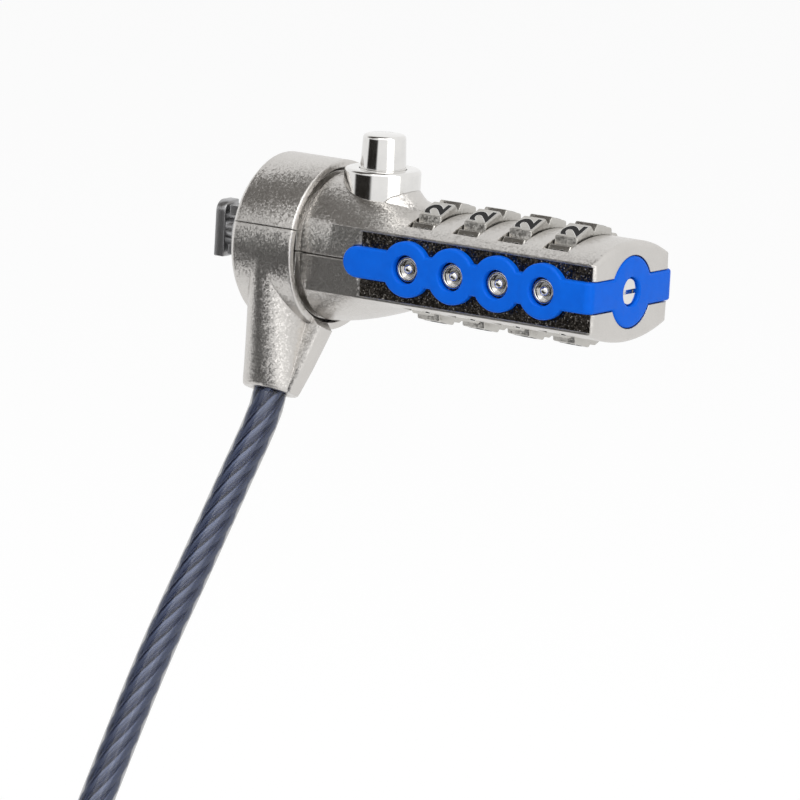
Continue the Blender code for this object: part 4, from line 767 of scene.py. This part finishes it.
def makeDials():
    half = dial["width"] / 2
    for number, x in enumerate(dial["places"], 1):
        loops = []
        for height, inset in ((-half, 0.2), (-half + 0.06, 0.07), (-half + 0.2, 0.0),
                              (half - 0.2, 0.0), (half - 0.06, 0.07), (half, 0.2)):
            loops.append([(u, v, height) for u, v in dialOutline(inset)])
        made, body = skin(f"dial{number}", loops, shifted(x) @ facingX), f"dial_{number}"
        carve(made, [slab("bore", boreOutline(), -4, 4, shifted(x) @ facingX)])
        asPiece(made, body, [dialMetal], [body], sharp=25)
        # a flat rim of bright nickel round each digit, a painted highlight for the engraving's bevel
        makeDigits(f"dialHighlightRims{number}", body, x, dial["highlightRimStroke"], dial["highlightRimLift"], bright)
        makeDigits(f"dialDigits{number}", body, x, dial["digitStroke"], dial["digitLift"], ink)


makeDials()
print("dials made")


def discTool(name, radius, base, face, place, sides):  # a flat disc with a rounded rim
    profile = filleted([(0, face, 0), (radius, face, strip["round"]), (radius, base, 0), (0, base, 0)], 6)
    return lathe(name, profile, place, sides)


def holeTool(radius, base, face, place):  # its rim is rounded
    size, profile = 0.2, [(0, base - 1), (radius, base - 1)]
    for step in range(5):
        turn = math.radians(22.5 * step)
        profile.append((radius + size * (1 - math.cos(turn)), face - size + size * math.sin(turn)))
    profile += [(radius + size, face + 1), (0, face + 1)]
    return lathe("hole", profile, place, 64)


def makeStrip():
    half, thick, size = strip["half"], strip["face"] - strip["base"], strip["round"]
    section = filleted([(0, -half, 0), (0, half, 0), (thick, half, size), (thick, -half, size)], 5)
    turn, corner = 0.15, []
    for step in range(13):
        angle = math.radians(7.5 * step)
        outward = Vector((math.sin(angle), -math.cos(angle), 0))
        middle = Vector((strip["endBase"] - turn, turn - strip["base"], 0))
        corner.append((middle + turn * outward, outward))
    front = [(Vector((strip["tip"], -strip["base"], 0)), Vector((0, -1, 0))), *corner]
    mirror = Matrix.Diagonal((1, -1, 1))
    route = front + [(mirror @ spot, mirror @ outward) for spot, outward in reversed(front)]
    loops = [[spot + outward * depth + Vector((0, 0, height)) for depth, height in section]
             for spot, outward in route]
    made = skin("trimStrip", loops)
    discs, holes = [], []
    for facing, way in ((facingFront, 1), (facingBack, -1)):
        place = facing @ shifted(way * strip["tip"])
        discs.append(discTool("tip", half, strip["base"], strip["face"], place, 64))
        for x in dial["places"]:
            place = facing @ shifted(way * x)
            discs.append(discTool("ring", strip["ring"], strip["base"], strip["face"], place, 96))
            holes.append(holeTool(strip["hole"], strip["base"], strip["face"], place))
    discs.append(discTool("disc", strip["disc"], strip["endBase"], strip["endFace"], facingX, 112))
    holes.append(holeTool(strip["discHole"], strip["endBase"], strip["endFace"], facingX))
    carve(made, discs, "UNION")
    carve(made, holes)
    asPiece(made, "lock_housing", [blue], ["trim_strip"])


plug = {
    "radius": 1.5, "rim": 1.15, "top": 8.5, "bottom": 7.7, "dish": 7.85, "bore": 0.5,
    "dome": 0.7, "domeFoot": 8.0, "domeHeight": 0.6, "pin": 0.45,
}
screw = {
    "head": 1.65, "top": 55.75, "seat": 54.5, "flange": 2.9, "flangeEnd": 53.9, "stem": 1.1, "stemEnd": 52.7,
    "slotHalf": 0.25, "slotFloor": 55.05,
}


def makeDetents():
    radius, rim, bore, pinRadius = plug["radius"], plug["rim"], plug["bore"], plug["pin"]
    top, bottom, dish, foot = plug["top"], plug["bottom"], plug["dish"], plug["domeFoot"]
    ring = filleted([(rim, top, 0.12), (radius, top, 0.12), (radius, bottom, 0), (bore, bottom, 0),
                     (bore, dish, 0), (rim, dish, 0)], 4)
    dome = [(0, foot + plug["domeHeight"])]
    for step in range(1, 8):
        turn = math.radians(90 * step / 7)
        dome.append((plug["dome"] * math.sin(turn), foot + plug["domeHeight"] * math.cos(turn)))
    dome += [(pinRadius, foot), (pinRadius, bottom), (0, bottom)]
    number = 0
    for facing, way in ((facingFront, 1), (facingBack, -1)):
        for x in dial["places"]:
            number += 1
            for kind, profile, sides in (("plug", ring, 64), ("pin", dome, 48)):
                made = lathe(f"detent{kind.title()}{number}", profile, facing @ shifted(way * x), sides)
                asPiece(made, "lock_housing", [bright], [f"detent_{kind}_{number}"])


def makeResetScrew():
    head, flange, stem, half = screw["head"], screw["flange"], screw["stem"], screw["slotHalf"]
    top, seat, back, end = screw["top"], screw["seat"], screw["flangeEnd"], screw["stemEnd"]
    profile = filleted([
        (0, top, 0), (head, top, 0.2), (head, seat, 0), (flange, seat, 0), (flange, back, 0), (stem, back, 0),
        (stem, end, 0), (0, end, 0)])
    made = lathe("codeResetScrew", profile, facingX, 80)
    carve(made, [block("slot", (screw["slotFloor"], -4, -half), (57, 4, half))])
    asPiece(made, "code_reset_screw", [bright], ["code_reset_screw"])


makeStrip()
makeDetents()
makeResetScrew()
print("trim strip, detents and reset screw made")

cable = {
    "radius": 2.1, "ropeRadius": 1.97, "strands": 6,
    "lay": 20.0,  # mm along the cable for one turn of a strand
    "swell": 1.06,  # how far the strands are pressed into each other
    "length": 1.98,  # in m
    "gripStart": 13.05, "floor": -92.0,
    "coilStartY": -76.2, "coilInner": 19.0, "coilPitch": 4.75, "coilTurns": 2.5, "coilLayers": 4, "coilPoints": 24,
    "coilReversal": 1.2,
    "ferruleLength": 10.0, "ferruleWall": 0.9, "loopLength": 24.0, "loopHalf": 10.5,
}


def cableRoute():
    x, radius = collar["middle"], cable["radius"]
    lean = Matrix.Rotation(collar["lean"], 3, "X")
    inside = lean @ Vector((x, 0, -cable["gripStart"]))
    below = lean @ Vector((x, 0, -collar["reach"] - radius))
    start = Vector((x, cable["coilStartY"], cable["floor"] + radius))
    through = [(-13.4, -28.6), (-20.4, -37.9), (-28.2, -48.2), (-38.2, -63.6), (-45.6, -75.6),
               (-54.2, -85.3), (-63.6, -89.4)]
    hanging = [below, *[Vector((x, y, z)) for y, z in through], start + Vector((0, 2 * radius + 0.3, 0))]
    hanging = [inside, *smoothRoute(hanging, 2.2, inside)]
    width = cable["coilTurns"] * cable["coilPitch"]
    outer = cable["coilInner"] + width
    centre = start + Vector((outer, 0, 0))
    turn, spiral = math.pi, []
    steps = round(cable["coilTurns"] * cable["coilPoints"])
    stepAngle = math.tau / cable["coilPoints"]
    for layer in range(cable["coilLayers"]):
        inward, last = layer % 2 == 0, layer == cable["coilLayers"] - 1
        for step in range(steps + last):
            share = step / steps
            size = outer - width * share if inward else cable["coilInner"] + width * share
            spiral.append((turn, size, layer * cable["coilPitch"]))
            turn += stepAngle
        edge, way = (cable["coilInner"], -1) if inward else (outer, 1)
        for step in range(0 if last else cable["coilPoints"] // 2):
            share = step / (cable["coilPoints"] // 2)
            rise = (1 - math.cos(math.pi * share)) / 2
            size = edge + way * cable["coilReversal"] * math.sin(math.pi * share)
            spiral.append((turn, size, (layer + rise) * cable["coilPitch"]))
            turn += stepAngle
    coil = [centre + Vector((size * math.cos(turn), size * math.sin(turn), z)) for turn, size, z in spiral]
    top = (cable["coilLayers"] - 1) * cable["coilPitch"]
    tail = [coil[-1]]
    ends = [(30, 0.6, 0.32), (60, -0.7, 0.83), (87, -2.8, 1.02), (116, -6.2, 1.02), (140, -10.4, 1.02)]
    for degrees, out, rise in ends:
        turn, size = math.radians(degrees), outer + out
        height = top + rise * cable["coilPitch"]
        tail.append(centre + Vector((size * math.cos(turn), size * math.sin(turn), height)))
    tail.append(tail[-1] + Vector((-1.6, -6.0, 0)))
    tail.append(tail[-1] + Vector((0, -2 * radius, 0)))
    tail = smoothRoute(tail, 6.0)
    coil = smoothRoute([start + Vector((0, 2 * radius, 0)), *coil, *tail[1:]], 2.8)
    return hanging, coil


def tubeCurve(name, points):
    data = bpy.data.curves.new(name, "CURVE")
    data.dimensions, data.bevel_depth, data.bevel_resolution = "3D", cable["radius"] * mm, 6
    data.use_fill_caps = True
    line = data.splines.new("POLY")
    line.points.add(len(points) - 1)
    for slot, point in zip(line.points, points):
        slot.co = (*(point * mm), 1)
    line.use_smooth = True
    return data


def onward(spots):  # the direction of a line at each of its points
    step = np.gradient(spots, axis=0)
    return step / np.linalg.norm(step, axis=1)[:, None]


def ropeMesh(name, points, fineTo):  # each strand winds round the line through the points
    lay, strands, envelope = cable["lay"], cable["strands"], cable["ropeRadius"]
    length = [0.0]
    for a, b in zip(points, points[1:]):
        length.append(length[-1] + (b - a).length)
    stations, along = [], 0.0
    while along < length[-1]:
        stations.append(along)
        along += lay / 18 if along < fineTo else lay / 9
    stations.append(length[-1])
    line = np.array([tuple(point) for point in points])
    spot = np.column_stack([np.interp(stations, length, line[:, axis]) for axis in range(3)])
    forward = onward(spot)
    across = np.zeros_like(spot)
    side = np.cross(forward[0], (1.0, 0.0, 0.0))
    for index, direction in enumerate(forward):  # carried along without twist
        side = side - direction * (side @ direction)
        side /= np.linalg.norm(side)
        across[index] = side
    other = np.cross(forward, across)
    strandRadius = envelope * math.sin(math.pi / strands) / (1 + math.sin(math.pi / strands)) * cable["swell"]
    reach = envelope - strandRadius
    phase = np.array(stations) / lay * math.tau
    verts, faces = [], []
    rounds = 8
    for strand in range(strands):
        turn = phase + math.tau * strand / strands
        middle = spot + reach * (np.cos(turn)[:, None] * across + np.sin(turn)[:, None] * other)
        ahead = onward(middle)
        outward = (middle - spot) / reach
        outward -= ahead * np.sum(outward * ahead, axis=1)[:, None]
        outward /= np.linalg.norm(outward, axis=1)[:, None]
        beside = np.cross(ahead, outward)
        first = len(verts)
        for index in range(len(stations)):
            for step in range(rounds):
                angle = math.tau * step / rounds
                offset = math.cos(angle) * outward[index] + math.sin(angle) * beside[index]
                verts.append(tuple((middle[index] + strandRadius * offset) * mm))
        for index in range(len(stations) - 1):
            for step in range(rounds):
                low, high = first + index * rounds, first + (index + 1) * rounds
                after = (step + 1) % rounds
                faces.append((low + step, low + after, high + after, high + step))
        faces.append(tuple(first + step for step in range(rounds))[::-1])
        faces.append(tuple(first + (len(stations) - 1) * rounds + step for step in range(rounds)))
    data = bpy.data.meshes.new(name)
    data.from_pydata(verts, [], faces)
    data.shade_smooth()
    return data


def makeFerrule(cableEnd):
    wall, radius, length = cable["ferruleWall"], cable["radius"], cable["ferruleLength"]
    high, wide = radius + wall, 2 * radius + wall
    top = cableEnd + Vector((0, -0.3, wall))
    loops = []
    for depth, inset in ((0, 0.4), (0.1, 0.15), (0.35, 0), (length - 0.35, 0), (length - 0.1, 0.15), (length, 0.4)):
        loop = []
        for side in (1, -1):
            for step in range(19):
                angle = math.radians(-90 + 10 * step)
                size = high - inset
                loop.append((side * (wide - high + size * math.cos(angle)), side * size * math.sin(angle), depth))
        loops.append(loop)
    made = skin("loopFerrule", loops, Matrix.Translation(top) @ facingFront)
    return top, asPiece(made, "swivel_collar", [bright], ["loop_ferrule"])


def loopRoute(top):  # the eye at the far end, which the lock is passed through
    begin = top + Vector((0, -cable["ferruleLength"] - 0.3, -cable["ferruleWall"]))
    strand, radius = cable["radius"] + 0.25, cable["radius"]
    wide, long = cable["loopHalf"] - radius, cable["loopLength"] - radius
    sketch = [(strand, 2 * radius), (0.62 * wide, 0.37 * long), (0.97 * wide, 0.6 * long),
              (0.86 * wide, 0.84 * long), (0.42 * wide, 0.975 * long)]
    right = [begin + Vector((u, -v, 0)) for u, v in sketch]
    left = [begin + Vector((-u, -v, 0)) for u, v in reversed(sketch)]
    route = smoothRoute([*right, begin + Vector((0, -long, 0)), *left], 1.6)
    return [begin + Vector((strand, 0, 0)), *route, begin + Vector((-strand, 0, 0))]


def coveredRope(kind, points, fineTo, nodes):  # a stretch of rope in its clear sleeve
    cover = addPiece(f"{kind}Sleeve", tubeCurve(f"{kind}Sleeve", points), "swivel_collar", [sleeve], nodes)
    return cover, addPiece(f"{kind}Rope", ropeMesh(f"{kind}Rope", points, fineTo), "swivel_collar", [wire])


def makeCable():
    hanging, coil = cableRoute()
    whole = hanging[:-1] + coil
    cord, core = coveredRope("cable", whole, 130, ["cable", "cable_coil"])
    top, ferrule = makeFerrule(whole[-1])
    loop, loopCore = coveredRope("loop", loopRoute(top), 200, ["end_loop"])
    total = sum((b - a).length for a, b in zip(whole, whole[1:]))
    print(f"cable: {total / 1000:.3f} m")


makeCable()

studio = {
    "middle": Vector((28, 0, 0)) * mm, "lampDistance": 0.9, "plainWorld": 0.45,
    "floorGlow": 1.12, "floorShare": 0.75, "floorColour": rgb(0.93, 0.93, 0.93),
    "lamps": {  # direction, size in m, watts
        "keyLamp": ((0.35, -0.55, 0.85), (1.0, 0.8), 4.0),
        "sideLamp": ((0.95, -0.35, 0.25), (0.6, 0.8), 1.5),
    },
    "flags": {  # dark cards that only the metal sees: place in m, facing, size in m, shade, soft part of the edge
        "highFlag": ((-0.20, -0.13, 0.42), (-0.42, -0.26, 0.84), (0.50, 0.88), (0.08, 0.071, 0.062), 0.4),
        "frontFlag": ((-0.22, -0.42, -0.005), (-0.46, -0.88, 0), (0.56, 0.17), (0.02, 0.018, 0.016), 0.3),
        "floorFlag": ((-0.13, -0.32, -0.089), (0, 0, 1), (0.60, 0.46), (0.012, 0.01, 0.009), 0.25),
    },
}


def areaLamp(name, direction, size, power):
    data = bpy.data.lights.new(name, "AREA")
    data.shape = "RECTANGLE"
    data.size, data.size_y = size
    data.energy = power
    made = placed(name, data)
    towards = Vector(direction).normalized()
    made.location = studio["middle"] + towards * studio["lampDistance"]
    made.rotation_mode = "QUATERNION"
    made.rotation_quaternion = towards.to_track_quat("Z", "Y")


def flag(name, place, facing, size, shade, soft):
    bm = bmesh.new()
    bmesh.ops.create_grid(bm, x_segments=1, y_segments=1, size=0.5)
    data, look = meshOf(name, bm), Look(name)
    spot = look.node("TexCoord", None, None, "Object")
    off = [look.sum("ABSOLUTE", look.node("SeparateXYZ", None, {0: spot}, axis)) * 2 for axis in (0, 1)]
    share = look.clamp((look.sum("MAXIMUM", *off) - (1 - soft)) / soft) ** 1.5
    tone = look.blend(share, rgb(*shade), rgb(1, 1, 1))
    look.finish(
        Base_Color=rgb(0, 0, 0), Roughness=1.0, Specular_IOR_Level=0.0, Emission_Color=tone, Emission_Strength=1.0)
    data.materials.append(look.material)
    made = placed(name, data)
    made.location = studio["middle"] + Vector(place)
    made.rotation_mode = "QUATERNION"
    made.rotation_quaternion = Vector(facing).to_track_quat("Z", "Y")
    made.scale = (size[0], size[1], 1)
    made.visible_camera = made.visible_diffuse = made.visible_shadow = made.visible_transmission = False


def directRays(look):
    rays = look.tree.nodes.new("ShaderNodeLightPath")
    seen = look.sum("MAXIMUM", Field(look, rays.outputs["Is Camera Ray"]), Field(look, rays.outputs["Is Glossy Ray"]))
    return look.sum("MAXIMUM", seen, Field(look, rays.outputs["Is Transmission Ray"]))


def makeStage():
    world = bpy.data.worlds.new("studio")
    scene.world = world
    look = Look("studio", world)
    strength = studio["plainWorld"] + directRays(look) * (1 - studio["plainWorld"])
    back = look.node("Background", None, {"Color": rgb(1, 1, 1), "Strength": strength})
    look.output(back, "World")

    bm = bmesh.new()
    bmesh.ops.create_grid(bm, x_segments=2, y_segments=2, size=4)
    bmesh.ops.translate(bm, vec=(0, 0, cable["floor"] * mm - 0.0002), verts=bm.verts)
    paper = Look("floorPaper")
    matt = paper.node("BsdfDiffuse", None, {"Color": studio["floorColour"]})
    glow = paper.node("Emission", None, {"Color": rgb(1, 1, 1), "Strength": studio["floorGlow"]})
    mixed = paper.node("MixShader", None, {0: studio["floorShare"], 1: matt, 2: glow})
    shown = paper.node("MixShader", None, {0: directRays(paper), 1: matt, 2: mixed})
    floor = placed("floor", meshOf("floor", bm))
    floor.data.materials.append(paper.output(shown))
    for name, facts in studio["lamps"].items():
        areaLamp(name, *facts)
    for name, facts in studio["flags"].items():
        flag(name, *facts)


makeStage()
scene.view_settings.view_transform = "Standard"
print("stage made")
